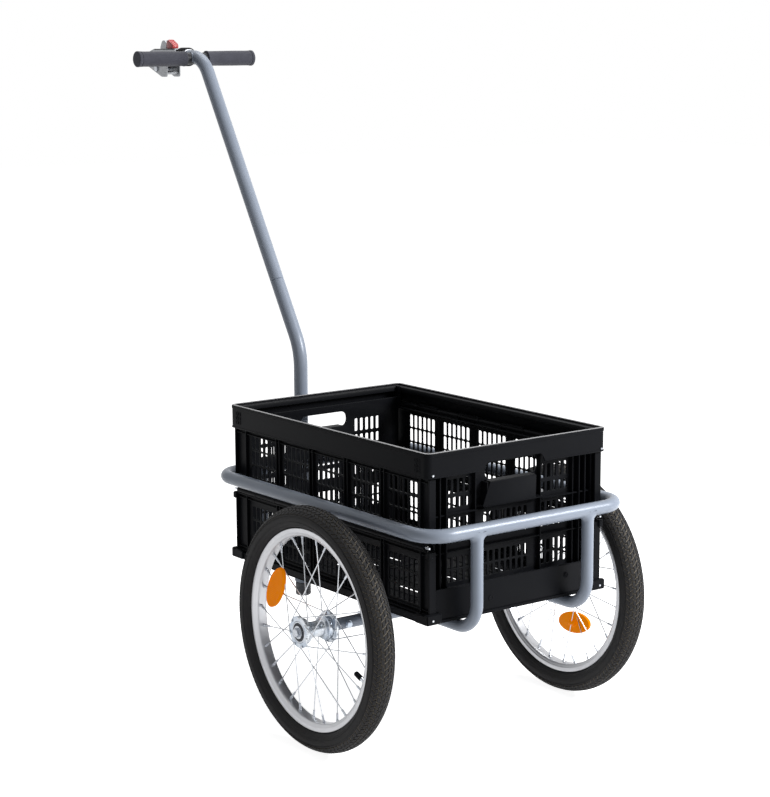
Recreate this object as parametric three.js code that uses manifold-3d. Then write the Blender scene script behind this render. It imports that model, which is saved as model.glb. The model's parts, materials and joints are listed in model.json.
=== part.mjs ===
// Bike cargo trailer: a tube frame on two spoked wheels, with a folding box, a tow pole and a coupling.
// Millimetres. X runs across, Y forward to the coupling, Z up. The origin is on the ground,
// in the middle of the trailer's length and width.

import * as THREE from 'three';
import { mergeVertices } from 'three/addons/utils/BufferGeometryUtils.js';
import Module from 'manifold-3d';

const wasm = await Module();
wasm.setup();

// Clearances shared by all pieces
const fitGap = 0.3;
const overrun = 2;
const swingGap = 0.8;

// Wheels
const wheelRadius = 200;
const tyreWidth = 45;
const rimRadius = 164.5;
const rimWidth = 25.2;
const rimDepth = 13.5;
const rimFlange = 6;
const rimWall = 1.8;
const wheelClearance = 26.5;
const wheelFacets = 26;

// Hub and spokes
const hubLength = 60;
const hubFlangeRadius = 27;
const hubFlangeThickness = 4;
const hubBarrelRadius = 12.5;
const hubCupWall = 2.7;
const hubFacets = 12;
const bearingRadius = 17.5;
const bearingWidth = 11;
const spokesPerWheel = 20;
const spokeRadius = 1.2;
const spokeStagger = 1.35;
const spokeSweep = THREE.MathUtils.degToRad(64);
const reflectorLength = 80;
const reflectorHeight = 38;
const reflectorThickness = 7;
const reflectorSeatShare = 0.64;
const clipLength = 26;
const clipHeight = 12;
const clipDepth = 4;
const valveRadius = 3.2;
const valveLength = 30;
const leftReflectorAngle = THREE.MathUtils.degToRad(155.6);
const rightReflectorAngle = THREE.MathUtils.degToRad(-114);

// Axle
const journalRadius = 7.5;
const axleTubeRadius = 10;
const axleSpigotRadius = 8;
const axleSpigotLength = 60;
const axleCollarRadius = 11;
const axleCollarLength = 4;
const axleBoltRadius = 3;
const axleBoltInset = 26;
const screwRadius = 4;
const screwLength = 18;
const washerRadius = 10.5;
const washerThickness = 1.6;
const hexRadiusShare = 1.85;
const hexHeightShare = 1.3;

// Tube frame
const tubeRadius = 11;
const ringSideGap = 9;
const ringRearGap = 19;
const ringFrontGap = 8;
const ringHeight = 381.5;
const ringCornerRadius = 45;
const railSpacing = 229;
const railRadius = 10;
const railRearBend = 45;
const railFrontBend = 27;
const frontCrossRadius = 9;
const frontCrossHeight = 275;
const crossPlateWidth = 32;
const crossPlateThickness = 4;
const crossPlateEndInset = 16.5;
const crossPlateInset = 95;
const tubeFacets = 10;
const bendSteps = 4;
const cornerSteps = 2;

// Tow pole
const poleRadius = 12.5;
const poleStandoff = 34;
const poleFootHeight = 124;
const poleLeanHeight = 577;
const poleSeamRise = 119;
const poleTopHeight = 1105;
const poleLean = THREE.MathUtils.degToRad(31.9);
const poleEndReach = 58;
const poleBendRadius = 110;
const neckBendRadius = 55;
const poleJointDepth = 45;
const poleJointRadius = 9.5;
const poleFacets = 12;
const socketWall = 2.7;
const socketBottom = 150;
const socketTop = 425;
const socketWebThickness = 6;
const footCapWall = 1.4;
const footCapHeight = 24;
const footCapFloor = 5;

// Handlebar
const barRadius = 11;
const barSetback = 45.6;
const barDrop = 12;
const gripRadius = 14.8;
const gripLength = 118;
const barWidth = 268;
const gripRidge = 1;
const gripFacets = 12;

// Coupling
const couplingWall = 2.5;
const couplingReach = 142;
const couplingDrop = 47;
const couplingSleeve = 24;
const couplingSlotWidth = 9;
const jawThickness = 7;
const jawPivotReach = 96;
const jawPivotDrop = 31;
const jawHubRadius = 9;
const jawPinRadius = 3;
const jawTabWidth = 9;
const jawTabRise = 6.7;
const sliderLength = 30;
const sliderWidth = 15;
const sliderHeight = 13;
const sliderTravel = 12;
const sliderRibs = 4;
const springRadius = 7.5;
const springWidth = 4;
const bootLength = 26;
const bootWall = 2.6;

// Folding box
const boxWidth = 363;
const boxLength = 553;
const boxHeight = 271;
const boxRearY = -193;
const bandHeight = 40;
const bandWall = 3;
const bandFlange = 14;
const bandLip = 12;
const boxCornerRadius = 8;
const floorThickness = 2.5;
const baseLip = 12;
const baseUpstand = 53;
const sideThickness = 13.5;
const sideSetback = 4;
const webThickness = 2.5;
const webSetback = 5.5;
const panelWall = 3;
const panelRib = 2.5;
const knuckleRadius = 4.5;
const rodRadius = 2;
const rodInset = 8;
const hingeRise = 7.3;
const knuckleCount = 3;
const knuckleGap = 0.6;
const slotColumnBar = 3.5;
const slotsPerGroup = 6;
const slotGroups = 5;
const slotGroupGap = 21;
const slotEndMargin = 30.2;
const slotBar = 3;
const upperSlotRows = 3;
const lowerSlotRows = 1;
const slotFieldShift = -5;
const slotFieldMargin = 10.5;

// End panels
const endSetback = 20;
const endRibReach = 11;
const endPivotInset = 16;
const endPivotDrop = 31;
const endPanelRise = 10;
const endPanelFloorGap = 2.5;
const endSlotBar = 4.5;
const endSideSlots = 5;
const endMiddleSlots = 8;
const endSideRibs = 3;
const endRibPitch = 12.5;
const handleWidth = 120;
const handleOpening = 36;
const handlePlateHeight = 34;
const handlePlateReach = 16;
const handleTopBar = 5.5;
const handleShift = -10;
const endSideSlotHeight = 42;
const endLowSlotHeight = 36;
const endLowRows = 1;
const endRowGap = 10;
const trunnionRadius = 3.5;
const trunnionLength = 5;
const earWidth = 12;
const earThickness = 4;
const drainSlotWidth = 8;
const drainSlotLength = 60;
const drainColumns = 6;
const drainRows = 2;

// Places worked out from the sizes above
const boxHalf = boxWidth / 2;
const ringHalf = boxHalf + ringSideGap + tubeRadius;
const ringRearY = boxRearY - ringRearGap - tubeRadius;
const ringFrontY = boxRearY + boxLength + ringFrontGap + tubeRadius;
const halfTrack = ringHalf + tubeRadius + wheelClearance + tyreWidth / 2;
const hubHalf = hubLength / 2;
const railX = railSpacing / 2;
const railHeight = wheelRadius + axleTubeRadius + fitGap + railRadius;
const plateBottom = railHeight + railRadius + fitGap;
const boxBottom = plateBottom + crossPlateThickness + fitGap;
const poleY = ringFrontY + poleStandoff;
const poleSeamHeight = poleLeanHeight + poleSeamRise;
const seamY = poleY + (poleSeamHeight - poleLeanHeight) * Math.tan(poleLean);
const neckY = poleY + (poleTopHeight - poleLeanHeight) * Math.tan(poleLean);
const poleEndY = neckY + poleEndReach;
const couplingRearY = poleEndY - couplingSleeve + fitGap;
const couplingFrontY = couplingRearY + couplingReach;
const barY = poleEndY - barSetback;
const barHeight = poleTopHeight - barDrop;
const jawPivotY = couplingRearY + jawPivotReach;
const jawPivotHeight = poleTopHeight - jawPivotDrop;
const socketRadius = poleRadius + fitGap + socketWall;
const trailerMiddleY = (ringRearY - tubeRadius + couplingFrontY) / 2;

// Finishes
const finish = (color, roughness, metalness) => () =>
  new THREE.MeshStandardMaterial({ color, roughness, metalness });
const framePaint = finish(0x8f99a8, 0.38, 0.45);
const blackPlastic = finish(0x18191c, 0.5, 0);
const zincPlate = finish(0xb9c2c9, 0.3, 0.9);
const brightSteel = finish(0xc9ccd0, 0.25, 0.95);
const rimAlloy = finish(0xd2d3d6, 0.32, 0.85);
const tyreRubber = finish(0x202124, 0.85, 0);
const softGrip = finish(0x46464c, 0.8, 0);
const greyPlastic = finish(0x55565c, 0.6, 0);
const amberLens = finish(0xc86a00, 0.3, 0);
const redPlastic = finish(0xa8323a, 0.45, 0);

// Closed mesh to solid and back

function toSolid(geometry) {
  const bare = geometry.clone();
  bare.deleteAttribute('normal');
  bare.deleteAttribute('uv');
  const merged = mergeVertices(bare, 1e-4);
  const index = merged.index.array;
  const kept = [];
  for (let i = 0; i < index.length; i += 3) {
    const [a, b, c] = [index[i], index[i + 1], index[i + 2]];
    if (a !== b && b !== c && c !== a) kept.push(a, b, c);
  }
  const vertProperties = new Float32Array(merged.attributes.position.array);
  const triVerts = new Uint32Array(kept);
  return new wasm.Manifold(new wasm.Mesh({ numProp: 3, vertProperties, triVerts }));
}

function toGeometry(solid) {
  const mesh = solid.getMesh();
  const geometry = new THREE.BufferGeometry();
  geometry.setAttribute('position', new THREE.BufferAttribute(new Float32Array(mesh.vertProperties), 3));
  geometry.setIndex(new THREE.BufferAttribute(new Uint32Array(mesh.triVerts), 1));
  geometry.computeVertexNormals();
  return geometry;
}

const join = (solids) => solids.reduce((whole, next) => whole.add(next));
const cut = (solid, tools) => solid.subtract(join(tools));
const range = (count) => Array.from({ length: count }, (_, i) => i);
const centred = (count, pitch) => range(count).map((i) => (i - (count - 1) / 2) * pitch);

// Basic solids, each between stated faces

function block([x0, x1], [y0, y1], [z0, z1]) {
  const geometry = new THREE.BoxGeometry(x1 - x0, y1 - y0, z1 - z0);
  return toSolid(geometry.translate((x0 + x1) / 2, (y0 + y1) / 2, (z0 + z1) / 2));
}

function rod(axis, radius, from, to, facets) {
  const geometry = new THREE.CylinderGeometry(radius, radius, to - from, facets);
  geometry.translate(0, (from + to) / 2, 0);
  if (axis === 'x') geometry.rotateZ(-Math.PI / 2);
  if (axis === 'z') geometry.rotateX(Math.PI / 2);
  return toSolid(geometry);
}

// A flat shape pushed along X (drawn in Y, Z), along Y (drawn in X, Z) or along Z (drawn in X, Y)
const shapeToX = new THREE.Matrix4().set(0, 0, 1, 0, 1, 0, 0, 0, 0, 1, 0, 0, 0, 0, 0, 1);

function push(axis, shape, from, to, curveSegments = bendSteps) {
  const geometry = new THREE.ExtrudeGeometry(shape, { depth: to - from, bevelEnabled: false, curveSegments });
  if (axis === 'x') geometry.applyMatrix4(shapeToX).translate(from, 0, 0);
  if (axis === 'y') geometry.rotateX(Math.PI / 2).translate(0, to, 0);
  if (axis === 'z') geometry.translate(0, 0, from);
  return toSolid(geometry);
}

function outline(points) {
  return new THREE.Shape(points.map(([u, v]) => new THREE.Vector2(u, v)));
}

function roundedRectangle(u0, u1, v0, v1, radius) {
  const centres = [[u1 - radius, v1 - radius], [u0 + radius, v1 - radius], [u0 + radius, v0 + radius],
    [u1 - radius, v0 + radius]];
  return outline(centres.flatMap(([u, v], corner) => range(cornerSteps + 1).map((k) => {
    const angle = (Math.PI / 2) * (corner + k / cornerSteps);
    return [u + radius * Math.cos(angle), v + radius * Math.sin(angle)];
  })));
}

// A ring turned about the X axis from a closed profile of [along X, radius] points
function turned(profile, facets) {
  const points = [...profile, profile[0]].map(([x, r]) => new THREE.Vector2(r, x));
  const geometry = new THREE.LatheGeometry(points.reverse(), facets).rotateZ(-Math.PI / 2);
  return toSolid(geometry);
}

// A curve that is sampled at its own stations, so that straights need no steps and bends get theirs
class StationPath extends THREE.Curve {
  constructor(stations, closed = false) {
    super();
    this.stations = closed ? [...stations, stations[0]] : stations;
    this.closed = closed;
  }

  getPoint(t, target = new THREE.Vector3()) {
    const last = this.stations.length - 1;
    const index = Math.min(Math.round(t * last), last);
    return target.copy(this.stations[index]);
  }

  getPointAt(u, target) {
    return this.getPoint(u, target);
  }

  getTangentAt(u, target = new THREE.Vector3()) {
    const last = this.stations.length - 1;
    const index = Math.min(Math.round(u * last), last);
    const before = index > 0 ? index - 1 : this.closed ? last - 1 : 0;
    const after = index < last ? index + 1 : this.closed ? 1 : last;
    const here = this.stations[index];
    const incoming = here.clone().sub(this.stations[before]).normalize();
    const outgoing = this.stations[after].clone().sub(here).normalize();
    return target.copy(incoming.add(outgoing)).normalize();
  }

  getTangent(t, target) {
    return this.getTangentAt(t, target);
  }
}

// Corner points with every inner corner rounded to its bend radius
function bentRoute(corners, radii, closed = false) {
  const stations = [];
  const count = corners.length;
  corners.forEach((corner, i) => {
    if (!closed && (i === 0 || i === count - 1)) {
      stations.push(corner.clone());
      return;
    }
    const toward = corners[(i + count - 1) % count].clone().sub(corner).normalize();
    const away = corners[(i + 1) % count].clone().sub(corner).normalize();
    const half = toward.angleTo(away) / 2;
    const middle = toward.clone().add(away).normalize();
    const radius = radii[i];
    const centre = corner.clone().addScaledVector(middle, radius / Math.sin(half));
    const start = corner.clone().addScaledVector(toward, radius / Math.tan(half)).sub(centre);
    const turn = new THREE.Vector3().crossVectors(toward, away).normalize().negate();
    const sweep = Math.PI - 2 * half;
    range(bendSteps + 1).forEach((k) => {
      const spoke = start.clone().applyAxisAngle(turn, (sweep * k) / bendSteps);
      stations.push(spoke.add(centre));
    });
  });
  return stations;
}

function bentTube(stations, radius, facets) {
  const path = new StationPath(stations);
  const section = new THREE.Shape(
    range(facets).map((i) => {
      const angle = (2 * Math.PI * i) / facets;
      return new THREE.Vector2(radius * Math.cos(angle), radius * Math.sin(angle));
    }),
  );
  const steps = stations.length - 1;
  return toSolid(new THREE.ExtrudeGeometry(section, { steps, bevelEnabled: false, extrudePath: path }));
}

const at = (x, y, z) => new THREE.Vector3(x, y, z);

// The model: nested groups hold meshes that are built about their own origins

const trailer = new THREE.Group();
trailer.position.y = -trailerMiddleY;

function addPiece(group, name, solid, material) {
  const mesh = new THREE.Mesh(toGeometry(solid), material());
  mesh.name = name;
  group.add(mesh);
}

function addGroup(parent, x, y, z) {
  const group = new THREE.Group();
  group.position.set(x, y, z);
  parent.add(group);
  return group;
}

// Screws: a hexagon head on a shank along X, head outside, with an optional washer or nut

function screw(shankRadius, length, washer) {
  const head = rod('x', shankRadius * hexRadiusShare, washer, washer + shankRadius * hexHeightShare, 6);
  return join([rod('x', shankRadius, -length, washer + shankRadius / 2, 8), head]);
}

function throughBolt(shankRadius, span) {
  const head = shankRadius * hexHeightShare;
  const reach = span / 2 + fitGap;
  return join([
    rod('x', shankRadius, -reach - head / 2, reach + head / 2, 8),
    rod('x', shankRadius * hexRadiusShare, reach, reach + head, 6),
    rod('x', shankRadius * hexRadiusShare, -reach - head, -reach, 6),
  ]);
}

// Frame ring: a closed loop of tube round the box

function ringTube() {
  const x = ringHalf;
  const corners = [[x, ringRearY], [x, ringFrontY], [-x, ringFrontY], [-x, ringRearY]];
  const route = bentRoute(corners.map(([u, v]) => at(u, v, ringHeight)), corners.map(() => ringCornerRadius),
    true);
  const path = new StationPath(route, true);
  return toSolid(new THREE.TubeGeometry(path, route.length, tubeRadius, tubeFacets, true));
}

// Rails: a U of tube from the ring's rear, under the box and up to the ring's front

function ringSaddle(y) {
  return rod('x', tubeRadius + fitGap, -railSpacing, railSpacing, tubeFacets * 2).translate([0, y, ringHeight]);
}

function rail(x) {
  const corners = [
    at(x, ringRearY, ringHeight),
    at(x, ringRearY, railHeight),
    at(x, ringFrontY, railHeight),
    at(x, ringFrontY, ringHeight),
  ];
  const tube = bentTube(bentRoute(corners, [0, railRearBend, railFrontBend, 0]), railRadius, tubeFacets);
  return cut(tube, [ringSaddle(ringRearY), ringSaddle(ringFrontY)]);
}

function crossPlate(y) {
  const half = boxHalf - crossPlateEndInset;
  const [rear, front] = [y - crossPlateWidth / 2, y + crossPlateWidth / 2];
  const shape = roundedRectangle(-half, half, rear, front, boxCornerRadius);
  return push('z', shape, plateBottom, plateBottom + crossPlateThickness, 2);
}

// Front cross tube: joins the rails' front uprights and carries the pole socket's lower web

function frontCrossTube() {
  const tube = rod('x', frontCrossRadius, -railX, railX, tubeFacets);
  const uprights = [-railX, railX].map((x) =>
    rod('z', railRadius + fitGap, -railRadius * 2, railRadius * 2, tubeFacets * 2).translate([x, 0, 0]),
  );
  return cut(tube, uprights).translate([0, ringFrontY, frontCrossHeight]);
}

// Axle tube, its stub axles and their bolts

const axleTubeHalf = halfTrack - hubHalf - axleCollarLength - 2 * fitGap;
const axleBoltX = axleTubeHalf - axleBoltInset;

function axleBoltHole(x) {
  return rod('y', axleBoltRadius + fitGap, -axleTubeRadius * 2, axleTubeRadius * 2, 8).translate([x, 0, 0]);
}

function axleTube() {
  const bore = axleSpigotRadius + fitGap;
  const profile = [
    [-axleTubeHalf, bore], [axleTubeHalf, bore], [axleTubeHalf, axleTubeRadius], [-axleTubeHalf, axleTubeRadius],
  ];
  const holes = [-axleBoltX, axleBoltX].map(axleBoltHole);
  return cut(turned(profile, hubFacets), holes);
}

function stubAxle() {
  const collarStart = axleTubeHalf + fitGap;
  const journalStart = collarStart + axleCollarLength;
  const outerEnd = halfTrack + hubHalf;
  const bore = screwRadius + fitGap;
  const screwEnd = outerEnd - screwLength - fitGap;
  const shaft = join([
    rod('x', axleSpigotRadius, collarStart - axleSpigotLength, journalStart, hubFacets),
    rod('x', axleCollarRadius, collarStart, journalStart, hubFacets),
    rod('x', journalRadius, collarStart, outerEnd, hubFacets),
  ]);
  return cut(shaft, [rod('x', bore, screwEnd, outerEnd + overrun, 8), axleBoltHole(axleBoltX)]);
}

function endScrew() {
  const seat = rod('x', washerRadius, fitGap, fitGap + washerThickness, hubFacets);
  return join([seat, screw(screwRadius, screwLength, washerThickness)]);
}

// Wheel, turned about X with its outer side towards +X

const seatRadius = rimRadius - rimFlange;
const rimInnerRadius = rimRadius - rimDepth;
const spokePitch = (2 * Math.PI) / spokesPerWheel;
const valveAngle = Math.PI + spokePitch;
const flatShare = Math.cos(Math.PI / wheelFacets);
const spokeReach = rimInnerRadius * flatShare - 2 * fitGap;

function tyre() {
  const half = tyreWidth / 2;
  const bead = rimWidth / 2 - rimWall - fitGap;
  const base = seatRadius + fitGap;
  const height = wheelRadius - rimRadius;
  const sidewallShares = [[0.94, 0.25], [0.96, 0.6], [0.64, 0.9]];
  const side = sidewallShares.map(([wide, high]) => [half * wide, rimRadius + height * high]);
  const mirrored = side.map(([x, r]) => [-x, r]).reverse();
  const right = [[bead, base], [bead, rimRadius], ...side];
  const left = [...mirrored, [-bead, rimRadius], [-bead, base]];
  return turned([...right, [0, wheelRadius], ...left], wheelFacets);
}

function rim() {
  const half = rimWidth / 2;
  const inner = half - rimWall;
  const shoulder = rimRadius - rimDepth / 2;
  const well = half * 0.68;
  const profile = [
    [half, shoulder], [half, rimRadius], [inner, rimRadius], [inner, seatRadius], [-inner, seatRadius],
    [-inner, rimRadius], [-half, rimRadius], [-half, shoulder], [-well, rimInnerRadius], [well, rimInnerRadius],
  ];
  const valveHole = rod('y', valveRadius + fitGap, rimInnerRadius - overrun, rimRadius, 8);
  return cut(turned(profile, wheelFacets), [valveHole.rotate([THREE.MathUtils.radToDeg(valveAngle), 0, 0])]);
}

function hubShell() {
  const end = hubHalf;
  const cup = bearingRadius + fitGap;
  const cupOuter = cup + hubCupWall;
  const cupEnd = end - bearingWidth - fitGap;
  const neck = cupEnd - hubCupWall;
  const bore = journalRadius + hubCupWall;
  const half = [
    [cupEnd, bore], [cupEnd, cup], [end, cup], [end, hubFlangeRadius],
    [end - hubFlangeThickness, hubFlangeRadius], [end - hubFlangeThickness, cupOuter],
    [neck, cupOuter], [neck, hubBarrelRadius],
  ];
  const mirrored = half.map(([x, r]) => [-x, r]).reverse();
  return turned([...half, ...mirrored], hubFacets);
}

// The two ends of a spoke, at its flange hole and at its nipple
function spokeEnds(index) {
  const side = index % 2 === 0 ? 1 : -1;
  const crossing = index % 4 < 2 ? 1 : -1;
  const rimAngle = spokePitch * (index + 0.5);
  const hubAngle = rimAngle + crossing * spokeSweep;
  const holeRadius = hubFlangeRadius - spokeRadius;
  const hubX = side * (hubHalf - hubFlangeThickness / 2);
  const stagger = crossing * spokeStagger;
  return [
    at(hubX + stagger, holeRadius * Math.cos(hubAngle), holeRadius * Math.sin(hubAngle)),
    at(stagger, spokeReach * Math.cos(rimAngle), spokeReach * Math.sin(rimAngle)),
  ];
}

// One spoke; grow thickens it, to cut a seat for it
function spoke(index, grow) {
  const [start, end] = spokeEnds(index);
  const along = end.clone().sub(start);
  const radius = spokeRadius + grow;
  const geometry = new THREE.CylinderGeometry(radius, radius, along.length(), 3);
  geometry.applyQuaternion(new THREE.Quaternion().setFromUnitVectors(at(0, 1, 0), along.normalize()));
  const middle = start.add(end).multiplyScalar(0.5);
  return toSolid(geometry.translate(middle.x, middle.y, middle.z));
}

function spokedHub() {
  return join([hubShell(), ...range(spokesPerWheel).map((i) => spoke(i, 0))]);
}

function bearing(outerSide) {
  const outer = hubHalf * outerSide;
  const inner = (hubHalf - bearingWidth) * outerSide;
  const [from, to] = [Math.min(inner, outer), Math.max(inner, outer)];
  const bore = journalRadius + fitGap;
  return turned([[from, bore], [to, bore], [to, bearingRadius], [from, bearingRadius]], hubFacets);
}

// Reflector: an oval lens outside a spoke, with a clip on its back that grips the spoke
function reflectorSeat() {
  const [start, end] = spokeEnds(0);
  const seat = start.lerp(end, reflectorSeatShare);
  return { x: seat.x, circle: Math.hypot(seat.y, seat.z), angle: Math.atan2(seat.z, seat.y) };
}

function reflector() {
  const { x, circle, angle } = reflectorSeat();
  const lensShape = new THREE.Shape();
  lensShape.absellipse(circle, 0, reflectorHeight / 2, reflectorLength / 2, 0, 2 * Math.PI);
  const lens = push('x', lensShape, x, x + reflectorThickness, wheelFacets / 2);
  const clip = block([x - clipDepth, x + reflectorThickness / 2], [circle - clipHeight / 2, circle + clipHeight / 2],
    [-clipLength / 2, clipLength / 2]);
  const turned = join([lens, clip]).rotate([THREE.MathUtils.radToDeg(angle), 0, 0]);
  return cut(turned, [spoke(0, fitGap)]);
}

// Valve: a stem from inside the rim, between two spokes, with a cap
function valve() {
  const from = rimInnerRadius - valveLength;
  const capEnd = rimInnerRadius - valveLength * 0.4;
  const stem = rod('y', valveRadius, capEnd, seatRadius * flatShare - fitGap, 8);
  const cap = rod('y', valveRadius * 1.25, from, capEnd, 8);
  return join([stem, cap]).rotate([THREE.MathUtils.radToDeg(valveAngle), 0, 0]);
}

function addRunningGear(side, outward, reflectorAngle) {
  const axle = addGroup(trailer, 0, 0, wheelRadius);
  if (outward < 0) axle.rotation.z = Math.PI;
  addPiece(axle, `${side}_stub_axle`, stubAxle(), zincPlate);
  const boltPlace = addGroup(axle, axleBoltX, 0, 0);
  boltPlace.rotation.z = Math.PI / 2;
  addPiece(boltPlace, `${side}_axle_bolt`, throughBolt(axleBoltRadius, axleTubeRadius * 2), zincPlate);
  const endPlace = addGroup(axle, halfTrack + hubHalf, 0, 0);
  addPiece(endPlace, `${side}_end_screw`, endScrew(), brightSteel);
  const wheel = addGroup(axle, halfTrack, 0, 0);
  wheel.rotation.x = reflectorAngle - reflectorSeat().angle;
  addPiece(wheel, `${side}_tyre`, tyre(), tyreRubber);
  addPiece(wheel, `${side}_rim`, rim(), rimAlloy);
  addPiece(wheel, `${side}_spoked_hub`, spokedHub(), zincPlate);
  addPiece(wheel, `${side}_outer_bearing`, bearing(1), brightSteel);
  addPiece(wheel, `${side}_inner_bearing`, bearing(-1), brightSteel);
  addPiece(wheel, `${side}_reflector`, reflector(), amberLens);
  addPiece(wheel, `${side}_valve`, valve(), blackPlastic);
}

// Pole socket: an upright sleeve whose web meets the ring and the front cross tube

const boltHeight = (socketTop + ringHeight + tubeRadius) / 2;

function socketBoltHole() {
  return rod('x', axleBoltRadius + fitGap, -socketRadius * 2, socketRadius * 2, 8).translate([0, poleY, boltHeight]);
}

function poleSocket() {
  const sleeve = rod('z', socketRadius, socketBottom, socketTop, poleFacets).translate([0, poleY, 0]);
  const web = block(
    [-socketWebThickness / 2, socketWebThickness / 2],
    [ringFrontY, poleY],
    [frontCrossHeight - frontCrossRadius, ringHeight + tubeRadius],
  );
  const bore = rod('z', poleRadius + fitGap, socketBottom - overrun, socketTop + overrun, poleFacets);
  const lowTube = rod('x', frontCrossRadius + fitGap, -socketRadius, socketRadius, tubeFacets * 2);
  return cut(join([sleeve, web]), [
    bore.translate([0, poleY, 0]),
    ringSaddle(ringFrontY),
    lowTube.translate([0, ringFrontY, frontCrossHeight]),
    block([-socketRadius, socketRadius], [ringFrontY - overrun, ringFrontY + fitGap], [socketBottom, socketTop]),
    socketBoltHole(),
  ]);
}

// Tow pole: an upright foot, a lean forward and a neck that levels out at the coupling

const poleCorners = {
  foot: at(0, poleY, poleFootHeight + footCapFloor + fitGap),
  lean: at(0, poleY, poleLeanHeight),
  seam: at(0, seamY, poleSeamHeight),
  neck: at(0, neckY, poleTopHeight),
  end: at(0, poleEndY, poleTopHeight),
};

const leanDirection = poleCorners.neck.clone().sub(poleCorners.lean).normalize();

function jointSpigot(radius, length) {
  const top = poleCorners.seam.clone().addScaledVector(leanDirection, length);
  return bentTube([poleCorners.seam.clone().addScaledVector(leanDirection, -poleRadius), top], radius, poleFacets);
}

const jointBoltPlace = poleCorners.seam.clone().addScaledVector(leanDirection, poleJointDepth / 2);

function jointBoltHole() {
  const hole = rod('x', axleBoltRadius + fitGap, -poleRadius * 2, poleRadius * 2, 8);
  return hole.translate(jointBoltPlace.toArray());
}

function lowerPole() {
  const route = bentRoute([poleCorners.foot, poleCorners.lean, poleCorners.seam], [0, poleBendRadius, 0]);
  const tube = bentTube(route, poleRadius, poleFacets);
  const whole = join([tube, jointSpigot(poleJointRadius, poleJointDepth)]);
  return cut(whole, [socketBoltHole(), jointBoltHole()]);
}

function couplingBoltHole() {
  return rod('x', axleBoltRadius + fitGap, -poleRadius * 3, poleRadius * 3, 8)
    .translate([0, poleEndY - couplingSleeve / 2, poleTopHeight]);
}

function upperPole() {
  const start = poleCorners.seam.clone().addScaledVector(leanDirection, fitGap);
  const route = bentRoute([start, poleCorners.neck, poleCorners.end], [0, neckBendRadius, 0]);
  const tube = bentTube(route, poleRadius, poleFacets);
  const bar = rod('x', barRadius + fitGap, -poleRadius * 2, poleRadius * 2, gripFacets).translate([0, barY, barHeight]);
  return cut(tube, [
    jointSpigot(poleJointRadius + fitGap, poleJointDepth + fitGap),
    jointBoltHole(),
    bar,
    couplingBoltHole(),
  ]);
}

function footCap() {
  const outer = poleRadius + fitGap + footCapWall;
  const inner = poleRadius + fitGap;
  const chamfer = footCapWall;
  const profile = [
    [poleFootHeight + footCapFloor, 0], [poleFootHeight + footCapFloor, inner],
    [poleFootHeight + footCapHeight, inner], [poleFootHeight + footCapHeight, outer],
    [poleFootHeight + chamfer, outer], [poleFootHeight, outer - chamfer], [poleFootHeight, 0],
  ];
  return turned(profile, poleFacets).rotate([0, -90, 0]).translate([0, poleY, 0]);
}

// Handlebar and grips

function handlebar() {
  const half = barWidth / 2 - fitGap - footCapWall;
  return rod('x', barRadius, -half, half, gripFacets).translate([0, barY, barHeight]);
}

function grip() {
  const bore = barRadius + fitGap;
  const end = barWidth / 2;
  const start = end - gripLength;
  const floor = end - footCapWall;
  const ridge = gripRadius - gripRidge;
  const band = gripLength / 12;
  const profile = [
    [start, bore], [start, ridge], [start + band / 2, gripRadius], [start + band, gripRadius],
    [start + 1.5 * band, ridge], [end - 2 * band, ridge], [end - band, gripRadius],
    [end - band / 3, gripRadius], [end, gripRadius - footCapWall], [end, 0], [floor, 0], [floor, bore],
  ];
  return turned(profile.reverse(), gripFacets);
}

// Coupling: a pressed channel on the pole's end, with a jaw on a pin and a slider that pulls it open

const channelHalf = poleRadius + fitGap + couplingWall;
const channelTop = poleTopHeight + channelHalf;
const jawTabHeight = channelTop + jawTabRise;
const tabRearY = jawPivotY - jawTabWidth - jawTabWidth / 2;
const sliderFrontY = tabRearY - fitGap;
const sliderRearY = sliderFrontY - sliderLength;

function cheekShape() {
  const low = poleTopHeight - couplingDrop;
  const front = couplingFrontY;
  const dropLength = couplingFrontY - jawPivotY;
  return outline([
    [couplingRearY, poleTopHeight - poleRadius], [sliderRearY, poleTopHeight - poleRadius],
    [sliderRearY + dropLength * 0.3, low], [jawPivotY, low], [jawPivotY + dropLength * 0.5, low + jawHubRadius],
    [front, jawPivotHeight + jawHubRadius], [jawPivotY + dropLength * 0.55, jawPivotHeight + jawHubRadius],
    [jawPivotY + dropLength * 0.55, poleTopHeight - jawPinRadius], [front, poleTopHeight - jawPinRadius],
    [front - jawHubRadius, channelTop - couplingWall], [front - 2 * jawHubRadius, channelTop],
    [couplingRearY, channelTop],
  ]);
}

function jawPinHole(grow) {
  return rod('x', jawPinRadius + grow, -channelHalf * 2, channelHalf * 2, 10)
    .translate([0, jawPivotY, jawPivotHeight]);
}

function couplingHousing() {
  const cheeks = [[-channelHalf, -channelHalf + couplingWall], [channelHalf - couplingWall, channelHalf]]
    .map(([from, to]) => push('x', cheekShape(), from, to));
  const web = block(
    [-channelHalf, channelHalf], [couplingRearY, couplingFrontY - 2 * jawHubRadius],
    [channelTop - couplingWall, channelTop],
  );
  const sleeve = rod('y', channelHalf, couplingRearY, couplingRearY + couplingSleeve, poleFacets)
    .translate([0, 0, poleTopHeight]);
  const bore = rod('y', poleRadius + fitGap, couplingRearY - overrun, poleEndY + fitGap, poleFacets * 2)
    .translate([0, 0, poleTopHeight]);
  const slot = block(
    [-couplingSlotWidth / 2, couplingSlotWidth / 2],
    [sliderRearY - sliderTravel + couplingSlotWidth, jawPivotY + fitGap],
    [channelTop - couplingWall - overrun, channelTop + overrun],
  );
  return cut(join([...cheeks, web, sleeve]), [bore, slot, jawPinHole(fitGap), couplingBoltHole()]);
}

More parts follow.
